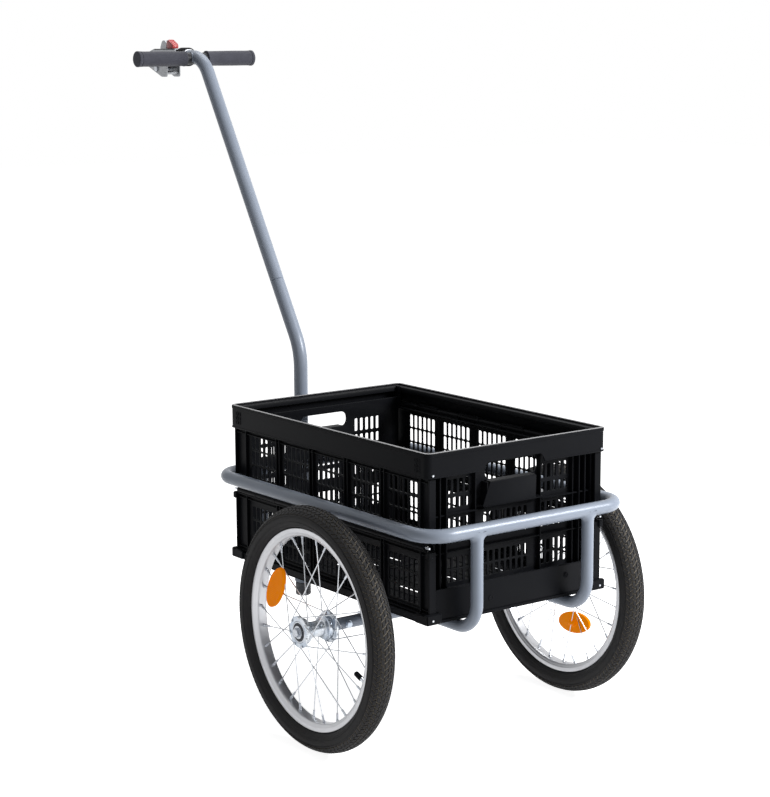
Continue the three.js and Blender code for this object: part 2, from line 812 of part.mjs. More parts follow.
function latchJaw() {
  const tabFront = tabRearY + jawTabWidth;
  const noseReach = (couplingFrontY - jawPivotY) * 0.82;
  const noseLow = poleTopHeight - jawPinRadius + fitGap;
  const shape = outline([
    [jawPivotY - jawHubRadius, jawPivotHeight - jawHubRadius * 0.6],
    [jawPivotY + jawHubRadius * 0.6, jawPivotHeight - jawHubRadius],
    [jawPivotY + jawHubRadius, jawPivotHeight], [jawPivotY + jawHubRadius, noseLow],
    [jawPivotY + noseReach, noseLow], [jawPivotY + noseReach, noseLow + jawHubRadius * 0.5],
    [tabFront, noseLow + jawHubRadius], [tabFront, jawTabHeight - jawTabWidth / 2],
    [tabFront - jawTabWidth / 3, jawTabHeight], [tabRearY + jawTabWidth / 3, jawTabHeight],
    [tabRearY, jawTabHeight - jawTabWidth / 2],
  ]);
  const plate = push('x', shape, -jawThickness / 2, jawThickness / 2);
  return cut(plate, [jawPinHole(fitGap)]);
}

function jawPin() {
  const head = jawPinRadius * hexRadiusShare;
  const reach = channelHalf + fitGap;
  const pin = join([
    rod('x', jawPinRadius, -reach - jawPinRadius / 2, reach + jawPinRadius / 2, 10),
    rod('x', head, reach, reach + jawPinRadius, 10),
    rod('x', head, -reach - jawPinRadius, -reach, 10),
  ]);
  return pin.translate([0, jawPivotY, jawPivotHeight]);
}

function latchSpring() {
  const from = jawThickness / 2 + fitGap;
  const bore = jawPinRadius + fitGap;
  const profile = [
    [from, bore], [from + springWidth, bore], [from + springWidth, springRadius], [from, springRadius],
  ];
  return turned(profile, 12).translate([0, jawPivotY, jawPivotHeight]);
}

function releaseSlider() {
  const bottom = channelTop + fitGap;
  const ribPitch = sliderLength / sliderRibs;
  const body = block([-sliderWidth / 2, sliderWidth / 2], [sliderRearY, sliderFrontY], [bottom, bottom + sliderHeight]);
  const grooves = range(sliderRibs - 1).map((i) => {
    const y = sliderRearY + ribPitch * (i + 1);
    return block([-sliderWidth, sliderWidth], [y - ribPitch / 5, y + ribPitch / 5],
      [bottom + sliderHeight - ribPitch / 4, bottom + sliderHeight + overrun]);
  });
  const foot = block(
    [-couplingSlotWidth / 2 + fitGap, couplingSlotWidth / 2 - fitGap],
    [sliderRearY + couplingSlotWidth + fitGap, sliderFrontY],
    [channelTop - couplingWall, bottom + overrun],
  );
  return join([cut(body, grooves), foot]);
}

function couplingBoot() {
  const inner = channelHalf + fitGap;
  const outer = inner + bootWall;
  const shape = new THREE.Shape();
  const roof = channelTop + fitGap;
  shape.moveTo(outer, poleTopHeight);
  shape.lineTo(outer, roof);
  shape.lineTo(outer - bootWall, roof + bootWall);
  shape.lineTo(-outer + bootWall, roof + bootWall);
  shape.lineTo(-outer, roof);
  shape.lineTo(-outer, poleTopHeight);
  shape.lineTo(-inner, poleTopHeight);
  shape.lineTo(-inner, roof);
  shape.lineTo(inner, roof);
  shape.lineTo(inner, poleTopHeight);
  const front = Math.min(couplingRearY + bootLength, sliderRearY - sliderTravel - fitGap);
  return cut(push('y', shape, couplingRearY, front), [couplingBoltHole()]);
}

// Folding box, built with its rear bottom edge at the group's origin

const sideOuter = boxHalf - sideSetback;
const sideInner = sideOuter - sideThickness;
const webOuter = sideOuter - webSetback;
const hingeX = boxHalf - rodInset;
const midHingeX = boxHalf - knuckleRadius;
const topHingeZ = boxHeight - bandHeight + knuckleRadius + fitGap * 2;
const midHingeZ = (hingeRise + topHingeZ) / 2;
const panelEnds = [bandWall / 2, boxLength - bandWall / 2];
const knuckleStart = bandWall + boxCornerRadius;
const knucklePitch = (boxLength - 2 * knuckleStart) / knuckleCount;
const edgeGap = knuckleRadius + knuckleGap;
const slotGroupPitch = (boxLength - 2 * slotEndMargin) / slotGroups;
const slotPitch = (slotGroupPitch - slotGroupGap) / slotsPerGroup;

function knuckleSpan(i) {
  return [knuckleStart + knucklePitch * i + knuckleGap / 2, knuckleStart + knucklePitch * (i + 1) - knuckleGap / 2];
}

// Interleaved knuckles along a hinge line: even ones belong to one leaf, odd ones to the other
function knuckles(x, z, parity, neckTo) {
  const owned = range(knuckleCount).filter((i) => i % 2 === parity);
  return owned.map((i) => {
    const [y0, y1] = knuckleSpan(i);
    const barrel = rod('y', knuckleRadius, y0, y1, 8).translate([x, 0, z]);
    const neck = block([x - knuckleRadius, Math.min(x + knuckleRadius, sideOuter)], [y0, y1],
      [Math.min(z, neckTo), Math.max(z, neckTo)]);
    return join([barrel, neck]);
  });
}

function hingeBore(x, z) {
  return rod('y', rodRadius + fitGap, -overrun, boxLength + overrun, 6).translate([x, 0, z]);
}

function hingeRod() {
  return rod('y', rodRadius, bandWall / 3, boxLength - bandWall / 3, 6);
}

// Openwork web of a side panel: groups of upright slots, in rows, with thin bars between
function sideSlots(z0, z1, rows) {
  const low = z0 + slotFieldMargin;
  const rowPitch = (z1 - slotFieldMargin - low + slotBar) / rows;
  const groups = centred(slotGroups, slotGroupPitch);
  const columns = centred(slotsPerGroup, slotPitch);
  const slotWidth = slotPitch - slotColumnBar;
  const middle = boxLength / 2 + slotFieldShift;
  return groups.flatMap((group) => columns.flatMap((column) => range(rows).map((row) => {
    const y = middle + group + column;
    const z = low + row * rowPitch;
    return block([sideInner, sideOuter], [y - slotWidth / 2, y + slotWidth / 2], [z, z + rowPitch - slotBar]);
  })));
}

function sidePanel(z0, z1, rows, lowHinge, highHinge) {
  const [y0, y1] = panelEnds;
  const whole = block([webOuter - webThickness, webOuter], [y0, y1], [z0, z1]);
  const web = cut(whole, sideSlots(z0, z1, rows));
  const inside = block([sideInner - overrun, sideOuter + overrun], [y0 + panelWall, y1 - panelWall],
    [z0 + panelWall, z1 - panelWall]);
  const frame = cut(block([sideInner, sideOuter], [y0, y1], [z0, z1]), [inside]);
  const ribPlaces = centred(slotGroups + 1, slotGroupPitch).map((u) => u + boxLength / 2 + slotFieldShift);
  const ribs = ribPlaces.map((y) =>
    block([webOuter - webThickness / 2, sideOuter], [y - panelRib / 2, y + panelRib / 2], [z0, z1]),
  );
  const leaves = [...lowHinge, ...highHinge];
  const bores = [hingeBore(hingeX, hingeRise), hingeBore(midHingeX, midHingeZ), hingeBore(hingeX, topHingeZ)];
  return cut(join([frame, web, ...ribs, ...leaves]), bores);
}

function lowerSidePanel() {
  const z0 = hingeRise + edgeGap;
  const z1 = midHingeZ - edgeGap;
  return sidePanel(z0, z1, lowerSlotRows,
    knuckles(hingeX, hingeRise, 0, z0 + overrun), knuckles(midHingeX, midHingeZ, 0, z1 - overrun));
}

function upperSidePanel() {
  const z0 = midHingeZ + edgeGap;
  const z1 = topHingeZ - edgeGap;
  return sidePanel(z0, z1, upperSlotRows,
    knuckles(midHingeX, midHingeZ, 1, z0 + overrun), knuckles(hingeX, topHingeZ, 0, z1 - overrun));
}

const bothSides = (solid) => [solid, solid.mirror([1, 0, 0])];

function baseTray() {
  const floorShape = roundedRectangle(-boxHalf, boxHalf, 0, boxLength, boxCornerRadius);
  const drainPitch = (boxWidth - 2 * rodInset) / (drainColumns + 1);
  const rows = centred(drainRows, boxLength / (drainRows + 1)).map((v) => v + boxLength / 2);
  const drains = centred(drainColumns, drainPitch).flatMap((u) => rows.map((v) =>
    block([u - drainSlotWidth / 2, u + drainSlotWidth / 2], [v - drainSlotLength / 2, v + drainSlotLength / 2],
      [-overrun, floorThickness + overrun]),
  ));
  const floor = cut(push('z', floorShape, 0, floorThickness), drains);
  const lips = bothSides(block([boxHalf - panelRib, boxHalf], [boxCornerRadius, boxLength - boxCornerRadius],
    [0, baseLip]));
  const upstandHalf = sideInner - swingGap;
  const upstands = [bandWall, boxLength - bandWall * 2].map((y) =>
    block([-upstandHalf, upstandHalf], [y, y + bandWall], [0, baseUpstand]),
  );
  const hinges = knuckles(hingeX, hingeRise, 1, floorThickness / 2).flatMap(bothSides);
  const bores = bothSides(hingeBore(hingeX, hingeRise));
  return cut(join([floor, ...lips, ...upstands, ...hinges]), bores);
}

// Top frame: a band with a flange turned in at its top and a lip turned down, open below
const endPivotZ = boxHeight - endPivotDrop;
const bandBottom = boxHeight - bandHeight;

function bandRing(inset, width, z0, z1) {
  const plan = (d) => roundedRectangle(-boxHalf + d, boxHalf - d, d, boxLength - d, boxCornerRadius);
  const whole = push('z', plan(inset), z0, z1);
  return cut(whole, [push('z', plan(inset + width), z0 - overrun, z1 + overrun)]);
}

function handleCuts() {
  const top = bandBottom + handleTopBar * 2 + fitGap * 6;
  const wide = handleWidth / 2;
  const shape = outline([
    [-wide - handleTopBar, bandBottom - overrun], [wide + handleTopBar, bandBottom - overrun],
    [wide, top - handleTopBar], [wide - handleTopBar, top], [-wide + handleTopBar, top], [-wide, top - handleTopBar],
  ]);
  const rear = push('y', shape, -overrun, boxLength / 2).translate([handleShift, 0, 0]);
  const front = push('y', shape, boxLength / 2, boxLength + overrun).translate([-handleShift, 0, 0]);
  return [rear, front];
}

const earInner = sideInner + swingGap;

function topFrame() {
  const outerBand = bandRing(0, bandWall, bandBottom, boxHeight);
  const flange = bandRing(0, bandFlange, boxHeight - bandWall, boxHeight);
  const lip = bandRing(bandFlange - bandWall, bandWall, boxHeight - bandLip, boxHeight);
  const ears = [endPivotInset, boxLength - endPivotInset].flatMap((y) => bothSides(
    block([earInner, earInner + earThickness], [y - earWidth / 2, y + earWidth / 2],
      [endPivotZ - trunnionRadius - panelRib, boxHeight - bandWall / 2]),
  ));
  const middleKnuckle = (knuckleCount - 1) / 2;
  const hanger = block([hingeX, boxHalf - bandWall / 2], knuckleSpan(middleKnuckle),
    [topHingeZ, topHingeZ + knuckleRadius]);
  const hinges = [...knuckles(hingeX, topHingeZ, 1, topHingeZ + knuckleRadius), hanger].flatMap(bothSides);
  const sockets = [endPivotInset, boxLength - endPivotInset].map((y) =>
    rod('x', trunnionRadius + fitGap, -earInner - earThickness - overrun, earInner + earThickness + overrun, 10)
      .translate([0, y, endPivotZ]),
  );
  const bores = bothSides(hingeBore(hingeX, topHingeZ));
  return cut(join([outerBand, flange, lip, ...ears, ...hinges]), [...handleCuts(), ...sockets, ...bores]);
}

// End panel: slotted web set back between ribs, with a hand opening over a grip plate and moulded trunnions
function endPanel() {
  const half = sideInner - swingGap;
  const z0 = floorThickness + endPanelFloorGap;
  const z1 = endPivotZ + endPanelRise;
  const webRear = endSetback;
  const ribRear = endSetback - endRibReach;
  const openTop = z1 - handleTopBar;
  const openBottom = openTop - handleOpening;
  const plateBottomZ = openBottom - handlePlateHeight;
  const sideField = half - (endSideRibs - 1) * endRibPitch - panelRib - handleWidth / 2 + handleShift;
  const endSlotPitch = (sideField - 2 * panelWall) / endSideSlots;
  const endSlotWidth = endSlotPitch - endSlotBar;
  const sideMiddle = (handleWidth + sideField) / 2;
  const sideColumns = centred(endSideSlots, endSlotPitch).flatMap((u) => [sideMiddle + u, -sideMiddle - u]);
  const allColumns = [...sideColumns, ...centred(endMiddleSlots, endSlotPitch)];
  const through = [webRear - overrun, webRear + webThickness + overrun];
  const handleSpan = [handleShift - handleWidth / 2, handleShift + handleWidth / 2];
  const slot = (u, low, high) => block(
    [handleShift + u - endSlotWidth / 2, handleShift + u + endSlotWidth / 2], through, [low, high],
  );
  const lowTop = plateBottomZ - endRowGap;
  const rowPitch = endLowSlotHeight + slotBar;
  const openings = [
    block(handleSpan, through, [openBottom, openTop]),
    ...sideColumns.map((u) => slot(u, plateBottomZ, plateBottomZ + endSideSlotHeight)),
    ...allColumns.flatMap((u) => range(endLowRows).map((row) =>
      slot(u, lowTop - row * rowPitch - endLowSlotHeight, lowTop - row * rowPitch),
    )),
  ];
  const web = cut(block([-half, half], [webRear, webRear + webThickness], [z0, z1]), openings);
  const ribs = range(endSideRibs).flatMap((i) => bothSides(block(
    [half - panelRib - i * endRibPitch, half - i * endRibPitch], [ribRear, webRear + webThickness / 2], [z0, z1],
  )));
  const plateOuter = webRear - handlePlateReach;
  const gripPlate = block(handleSpan, [plateOuter, plateOuter + bandWall],
    [plateBottomZ, openBottom]);
  const returns = [[plateBottomZ, plateBottomZ + panelRib], [openBottom - panelRib, openBottom]].map((span) =>
    block(handleSpan, [plateOuter, webRear + webThickness / 2], span),
  );
  const trunnions = bothSides(
    rod('x', trunnionRadius, half - panelRib, half + trunnionLength, 10).translate([0, endPivotInset, endPivotZ]),
  );
  return join([web, ...ribs, gripPlate, ...returns, ...trunnions]);
}

function addBox() {
  const box = addGroup(trailer, 0, boxRearY, boxBottom);
  addPiece(box, 'base_tray', baseTray(), blackPlastic);
  addPiece(box, 'top_frame', topFrame(), blackPlastic);
  const lower = lowerSidePanel();
  const upper = upperSidePanel();
  const axes = { base: [hingeX, hingeRise], middle: [midHingeX, midHingeZ], top: [hingeX, topHingeZ] };
  [['right', 1], ['left', -1]].forEach(([side, sign]) => {
    const place = (solid) => (sign > 0 ? solid : solid.mirror([1, 0, 0]));
    addPiece(box, `${side}_lower_side`, place(lower), blackPlastic);
    addPiece(box, `${side}_upper_side`, place(upper), blackPlastic);
    Object.entries(axes).forEach(([name, [x, z]]) => {
      addPiece(box, `${side}_${name}_hinge_rod`, hingeRod().translate([sign * x, 0, z]), brightSteel);
    });
  });
  addPiece(box, 'rear_end_panel', endPanel(), blackPlastic);
  const front = addGroup(box, 0, boxLength, 0);
  front.rotation.z = Math.PI;
  addPiece(front, 'front_end_panel', endPanel(), blackPlastic);
}

function addFrame() {
  addPiece(trailer, 'ring_tube', ringTube(), framePaint);
  addPiece(trailer, 'left_rail', rail(-railX), framePaint);
  addPiece(trailer, 'right_rail', rail(railX), framePaint);
  addPiece(trailer, 'rear_cross_plate', crossPlate(boxRearY + crossPlateInset), framePaint);
  addPiece(trailer, 'front_cross_plate', crossPlate(boxRearY + boxLength - crossPlateInset), framePaint);
  addPiece(trailer, 'front_cross_tube', frontCrossTube(), framePaint);
  addPiece(addGroup(trailer, 0, 0, wheelRadius), 'axle_tube', axleTube(), framePaint);
  addPiece(trailer, 'pole_socket', poleSocket(), framePaint);
  addPiece(addGroup(trailer, 0, poleY, boltHeight), 'socket_bolt', throughBolt(axleBoltRadius, socketRadius * 2),
    zincPlate);
}

function addPole() {
  addPiece(trailer, 'lower_pole', lowerPole(), framePaint);
  addPiece(trailer, 'upper_pole', upperPole(), framePaint);
  const bolt = addGroup(trailer, 0, jointBoltPlace.y, jointBoltPlace.z);
  addPiece(bolt, 'pole_joint_bolt', throughBolt(axleBoltRadius, poleRadius * 2), zincPlate);
  addPiece(trailer, 'foot_cap', footCap(), greyPlastic);
  addPiece(trailer, 'handlebar', handlebar(), blackPlastic);
  const bar = addGroup(trailer, 0, barY, barHeight);
  addPiece(bar, 'right_grip', grip(), softGrip);
  const left = addGroup(bar, 0, 0, 0);
  left.rotation.z = Math.PI;
  addPiece(left, 'left_grip', grip(), softGrip);
}

function addCoupling() {
  addPiece(trailer, 'coupling_housing', couplingHousing(), zincPlate);
  addPiece(trailer, 'latch_jaw', latchJaw(), zincPlate);
  addPiece(trailer, 'jaw_pin', jawPin(), brightSteel);
  addPiece(trailer, 'latch_spring', latchSpring(), brightSteel);
  addPiece(trailer, 'release_slider', releaseSlider(), redPlastic);
  addPiece(trailer, 'coupling_boot', couplingBoot(), blackPlastic);
  const bolt = addGroup(trailer, 0, poleEndY - couplingSleeve / 2, poleTopHeight);
  const span = 2 * (channelHalf + fitGap + bootWall);
  addPiece(bolt, 'coupling_bolt', throughBolt(axleBoltRadius, span), zincPlate);
}

addFrame();
addRunningGear('left', -1, leftReflectorAngle);
addRunningGear('right', 1, rightReflectorAngle);
addPole();
addCoupling();
addBox();

export default trailer;
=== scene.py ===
import json
import logging
import math
from dataclasses import dataclass, field
from enum import Enum
from typing import Callable, ClassVar, Optional, Sequence

import bmesh
import bpy
from mathutils import Matrix, Vector

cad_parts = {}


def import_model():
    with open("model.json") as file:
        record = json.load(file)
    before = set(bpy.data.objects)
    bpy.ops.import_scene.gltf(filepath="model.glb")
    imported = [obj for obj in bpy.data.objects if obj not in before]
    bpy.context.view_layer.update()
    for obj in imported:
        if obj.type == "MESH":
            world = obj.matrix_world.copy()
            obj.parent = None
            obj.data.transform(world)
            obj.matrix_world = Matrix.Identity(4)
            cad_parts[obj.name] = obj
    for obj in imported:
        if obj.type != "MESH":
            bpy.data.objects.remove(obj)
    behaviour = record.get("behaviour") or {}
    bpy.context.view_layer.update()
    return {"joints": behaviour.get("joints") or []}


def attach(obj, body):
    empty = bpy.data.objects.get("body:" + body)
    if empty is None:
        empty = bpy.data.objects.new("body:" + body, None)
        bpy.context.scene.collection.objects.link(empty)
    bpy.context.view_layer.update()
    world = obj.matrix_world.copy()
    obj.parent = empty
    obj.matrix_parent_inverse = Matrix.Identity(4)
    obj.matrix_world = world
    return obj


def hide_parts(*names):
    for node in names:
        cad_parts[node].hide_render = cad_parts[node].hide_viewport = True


LOG = logging.getLogger("bike_cargo_trailer")

# Lengths are millimetres from the ground under the axle: X across, Y forward, Z up.
METRES = 0.001
M6 = 3.0  # the radius of an M6 bolt's shank
SHARP = math.radians(34)  # faces that turn by more than this keep a crisp edge between them
Flat = tuple[float, float]
Socket = bpy.types.NodeSocket


# Finishes: what each surface is made of, and how it was made.


def linear(hex_colour: str) -> tuple[float, float, float, float]:
    """Turns an sRGB hex value into the linear colour that a shader takes.

    Args:
        hex_colour: the colour as #rrggbb.

    Returns:
        Red, green, blue and an alpha of 1.
    """
    parts = [int(hex_colour[i:i + 2], 16) / 255 for i in (1, 3, 5)]
    red, green, blue = (p / 12.92 if p <= 0.04045 else ((p + 0.055) / 1.055) ** 2.4 for p in parts)
    return red, green, blue, 1.0


def add_node(tree: bpy.types.NodeTree, kind: str, settings: Optional[dict] = None,
             inputs: Optional[dict] = None) -> bpy.types.Node:
    """Adds a node with its settings, and sets or links its inputs.

    Args:
        tree: the node tree of a material or the world.
        kind: the node's type name.
        settings: fields of the node and their values.
        inputs: sockets by name or number, each with a value or with the socket that feeds it.

    Returns:
        The new node.
    """
    node = tree.nodes.new(kind)
    for key, value in (settings or {}).items():
        setattr(node, key, value)
    for key, value in (inputs or {}).items():
        if isinstance(value, Socket):
            tree.links.new(value, node.inputs[key])
        else:
            node.inputs[key].default_value = value
    return node


@dataclass(frozen=True)
class Finish:
    """A material and how its surface was made. Sizes of its pattern are in millimetres."""

    name: str
    slot: str
    colour: str
    shade: str
    metallic: float = 0.0
    roughness: float = 0.5
    ior: float = 1.5
    specular: float = 0.5
    cloud_mm: float = 60.0
    grain_mm: float = 2.0
    grain_depth_mm: float = 0.05
    roughness_spread: float = 0.08
    stretch: tuple[float, float, float] = (1.0, 1.0, 1.0)

    def place(self, tree: bpy.types.NodeTree) -> Socket:
        """Gives the piece's own coordinates in metres, stretched along the surface's working direction."""
        coordinates = add_node(tree, "ShaderNodeTexCoord")
        return add_node(tree, "ShaderNodeMapping", inputs={
            "Vector": coordinates.outputs["Object"], "Scale": self.stretch}).outputs[0]

    def clouds(self, tree: bpy.types.NodeTree, place: Socket) -> Socket:
        """Gives the slow change of tone over the surface, from 0 to 1."""
        return add_node(tree, "ShaderNodeTexNoise", inputs={
            "Vector": place, "Scale": 1 / (self.cloud_mm * METRES),
            "Detail": 4.0, "Roughness": 0.6}).outputs[0]

    def grain(self, tree: bpy.types.NodeTree, place: Socket) -> Socket:
        """Gives the fine relief of the surface, from 0 to 1."""
        return add_node(tree, "ShaderNodeTexNoise", inputs={
            "Vector": place, "Scale": 1 / (self.grain_mm * METRES),
            "Detail": 2.0, "Roughness": 0.5}).outputs[0]

    def extras(self) -> dict[str, object]:
        """Gives further shader values, such as coat or sheen."""
        return {}

    def material(self) -> bpy.types.Material:
        """Makes the material once, and gives the same one afterwards.

        Returns:
            A node material for this finish.
        """
        made = bpy.data.materials.get(self.name)
        if made:
            return made
        made = bpy.data.materials.new(self.name)
        made.use_nodes = True
        tree = made.node_tree
        tree.nodes.clear()
        place = self.place(tree)
        clouds, grain = self.clouds(tree, place), self.grain(tree, place)
        tone = add_node(tree, "ShaderNodeMapRange", inputs={0: clouds, 1: 0.3, 2: 0.7}).outputs[0]
        colour = add_node(tree, "ShaderNodeMix", {"data_type": "RGBA"}, {
            0: tone, 6: linear(self.colour), 7: linear(self.shade)}).outputs[2]
        rough = add_node(tree, "ShaderNodeMapRange", inputs={
            0: grain, 1: 0.25, 2: 0.75,
            3: self.roughness - self.roughness_spread, 4: self.roughness + self.roughness_spread}).outputs[0]
        bump = add_node(tree, "ShaderNodeBump", inputs={
            "Height": grain, "Distance": self.grain_depth_mm * METRES, "Strength": 1.0}).outputs[0]
        shader = add_node(tree, "ShaderNodeBsdfPrincipled", inputs={
            "Base Color": colour, "Metallic": self.metallic, "Roughness": rough, "Normal": bump,
            "Specular IOR Level": self.specular, **({} if self.metallic > 0.5 else {"IOR": self.ior}),
            **self.extras()})
        add_node(tree, "ShaderNodeOutputMaterial", inputs={"Surface": shader.outputs[0]})
        return made


@dataclass(frozen=True)
class PowderCoat(Finish):
    """Baked silver-blue powder coat on steel tube: soft broad highlights over a faint orange peel."""

    # The peel's real waves are about 1 mm; they are drawn at 2.5 mm, which is as fine as the picture shows.
    name: str = "powder_coated_steel"
    slot: str = "frame_paint"
    colour: str = "#949dab"
    shade: str = "#8b94a3"
    metallic: float = 0.05
    roughness: float = 0.36
    specular: float = 0.2
    grain_mm: float = 2.5
    grain_depth_mm: float = 0.02
    cloud_mm: float = 90.0

    def extras(self) -> dict[str, object]:
        """A thin clear layer over the flake, as powder coat has."""
        return {"Coat Weight": 0.14, "Coat Roughness": 0.18}


@dataclass(frozen=True)
class MouldedPolypropylene(Finish):
    """Black polypropylene, injection moulded in a spark-eroded tool: a dull, even, slightly pebbled skin."""

    # The tool's pits are about 0.2 mm; they are drawn at 1.2 mm so that they show at all.
    name: str = "moulded_polypropylene"
    slot: str = "black_plastic"
    colour: str = "#111215"
    shade: str = "#141518"
    roughness: float = 0.4
    ior: float = 1.49
    specular: float = 0.04
    grain_mm: float = 1.2
    grain_depth_mm: float = 0.015
    cloud_mm: float = 130.0


@dataclass(frozen=True)
class TopHighlightPolypropylene(MouldedPolypropylene):
    """The same plastic on the rim's top, painted paler as a highlight where the light catches the rim, and
    smoother.
    """

    name: str = "painted_highlight_polypropylene"
    colour: str = "#8c8c8e"
    shade: str = "#9a9a9c"
    roughness: float = 0.34
    specular: float = 0.3
    cloud_mm: float = 45.0


@dataclass(frozen=True)
class TyreRubber(Finish):
    """Carbon-black rubber cured in a mould: matt, a little browner where dust sits in the tread."""

    # The mould's texture is about 0.3 mm; it is drawn at 1.5 mm so that it shows.
    name: str = "cured_tyre_rubber"
    slot: str = "tyre"
    colour: str = "#262628"
    shade: str = "#2c2b2b"
    roughness: float = 0.72
    ior: float = 1.52
    specular: float = 0.22
    grain_mm: float = 1.5
    grain_depth_mm: float = 0.06
    cloud_mm: float = 14.0


@dataclass(frozen=True)
class DustyRubber(TyreRubber):
    """The same rubber down in the tread's grooves, where road dust lies: browner, lighter and fully matt."""

    name: str = "dusty_groove_rubber"
    colour: str = "#7f786d"
    shade: str = "#5e584f"
    roughness: float = 0.9
    specular: float = 0.15
    cloud_mm: float = 9.0


@dataclass(frozen=True)
class ZincPlate(Finish):
    """Bright zinc plate with a blue passivate: crystalline patches, some bluer and some paler."""

    # The plating's grain is under 0.1 mm; it is drawn at 1.4 mm. The patches are 16 mm wide.
    name: str = "blue_zinc_plate"
    slot: str = "zinc"
    colour: str = "#a8b1bd"
    shade: str = "#c4c8cd"
    metallic: float = 1.0
    roughness: float = 0.3
    cloud_mm: float = 16.0
    grain_mm: float = 1.4
    grain_depth_mm: float = 0.02
    roughness_spread: float = 0.1

    def clouds(self, tree: bpy.types.NodeTree, place: Socket) -> Socket:
        """Patches like the crystals of plating, in place of soft clouds."""
        cells = add_node(tree, "ShaderNodeTexVoronoi", {"feature": "SMOOTH_F1"}, {
            "Vector": place, "Scale": 1 / (self.cloud_mm * METRES), "Smoothness": 0.6})
        return cells.outputs["Distance"]


@dataclass(frozen=True)
class DrawnWire(Finish):
    """Stainless wire drawn through a die: bright, with a faint unevenness of its gloss."""

    # The die's marks are under 0.1 mm; they are drawn at 1 mm.
    name: str = "drawn_stainless_wire"
    slot: str = "zinc"
    colour: str = "#c3c6ca"
    shade: str = "#b2b5ba"
    metallic: float = 1.0
    roughness: float = 0.26
    cloud_mm: float = 30.0
    grain_mm: float = 1.0
    grain_depth_mm: float = 0.01


@dataclass(frozen=True)
class TurnedSteel(Finish):
    """Steel turned on a lathe and polished: rings round the axle that catch the light."""

    # The tool marks are about 0.1 mm apart; they are drawn at 0.8 mm.
    name: str = "turned_bright_steel"
    slot: str = "bright_steel"
    colour: str = "#bcc0c6"
    shade: str = "#a9adb4"
    metallic: float = 1.0
    roughness: float = 0.27
    grain_mm: float = 0.8
    grain_depth_mm: float = 0.01
    cloud_mm: float = 20.0
    stretch: tuple[float, float, float] = (1.0, 0.15, 0.15)


@dataclass(frozen=True)
class AnodisedAluminium(Finish):
    """Rolled and anodised aluminium rim: pale, satin, with fine lines round the wheel."""

    # The rolled lines are about 0.1 mm apart; they are drawn at 0.9 mm.
    name: str = "anodised_aluminium"
    slot: str = "rim_alloy"
    colour: str = "#c6c7ca"
    shade: str = "#b7b8bc"
    metallic: float = 0.85
    roughness: float = 0.36
    grain_mm: float = 0.9
    grain_depth_mm: float = 0.015
    cloud_mm: float = 45.0
    stretch: tuple[float, float, float] = (1.0, 0.2, 0.2)


@dataclass(frozen=True)
class MouldedAcrylic(Finish):
    """Amber acrylic moulded with prisms: saturated, with a painted glow that keeps its shaded side bright
    too.
    """

    name: str = "moulded_amber_acrylic"
    slot: str = "amber_lens"
    colour: str = "#e47f00"
    shade: str = "#d87400"
    specular: float = 0.03
    roughness: float = 0.2
    ior: float = 1.49
    cloud_mm: float = 18.0
    grain_mm: float = 3.0
    grain_depth_mm: float = 0.02
    roughness_spread: float = 0.04

    def extras(self) -> dict[str, object]:
        """A painted glow: the amber gives off light of its own, though the real lens is no lamp, which keeps
        it bright in shade.
        """
        return {"Emission Color": linear("#e07c04"), "Emission Strength": 0.48}


@dataclass(frozen=True)
class FoamedGrip(Finish):
    """Foamed thermoplastic rubber sleeve: charcoal, soft and quite matt, with small open pores."""

    # The pores are about 0.3 mm; they are drawn at 1.3 mm.
    name: str = "foamed_grip_rubber"
    slot: str = "grip"
    colour: str = "#3e3f49"
    shade: str = "#373841"
    roughness: float = 0.78
    ior: float = 1.5
    specular: float = 0.35
    grain_mm: float = 1.3
    grain_depth_mm: float = 0.12
    cloud_mm: float = 25.0

    def extras(self) -> dict[str, object]:
        """The soft light edge that a foamed skin shows."""
        return {"Sheen Weight": 0.15, "Sheen Roughness": 0.5}


@dataclass(frozen=True)
class MouldedPolyethylene(Finish):
    """Grey polyethylene cap, injection moulded: waxy, with a slight scuff from standing on the ground."""

    # The scuffs are about 0.3 mm wide; they are drawn at 1.6 mm.
    name: str = "moulded_polyethylene"
    slot: str = "grey_plastic"
    colour: str = "#46474c"
    shade: str = "#3e4045"
    roughness: float = 0.55
    ior: float = 1.51
    grain_mm: float = 1.6
    grain_depth_mm: float = 0.06
    cloud_mm: float = 12.0


@dataclass(frozen=True)
class MouldedNylon(Finish):
    """Red nylon, injection moulded: even colour with a soft satin gloss."""

    # The mould's grain is about 0.2 mm; it is drawn at 1 mm.
    name: str = "moulded_red_nylon"
    slot: str = "red_plastic"
    colour: str = "#bd403f"
    shade: str = "#ad3336"
    roughness: float = 0.36
    ior: float = 1.53
    grain_mm: float = 1.0
    grain_depth_mm: float = 0.02
    cloud_mm: float = 12.0


@dataclass(frozen=True)
class StovedEnamel(Finish):
    """Black stoved enamel on the bar: deep, satin and nearly without texture."""

    name: str = "stoved_black_enamel"
    slot: str = "bar_black"
    colour: str = "#26272b"
    shade: str = "#2b2c30"
    roughness: float = 0.5
    ior: float = 1.55
    specular: float = 0.2
    grain_mm: float = 3.0
    grain_depth_mm: float = 0.01


@dataclass(frozen=True)
class PhosphatedSteel(Finish):
    """Hardened plate with a phosphate coat: mid grey and satin, a little mottled."""

    # The coat's crystals are under 0.1 mm; they are drawn at 1.2 mm.
    name: str = "phosphated_steel"
    slot: str = "zinc"
    colour: str = "#8b8d91"
    shade: str = "#9ea0a3"
    metallic: float = 0.9
    roughness: float = 0.42
    grain_mm: float = 1.2
    grain_depth_mm: float = 0.02
    cloud_mm: float = 8.0


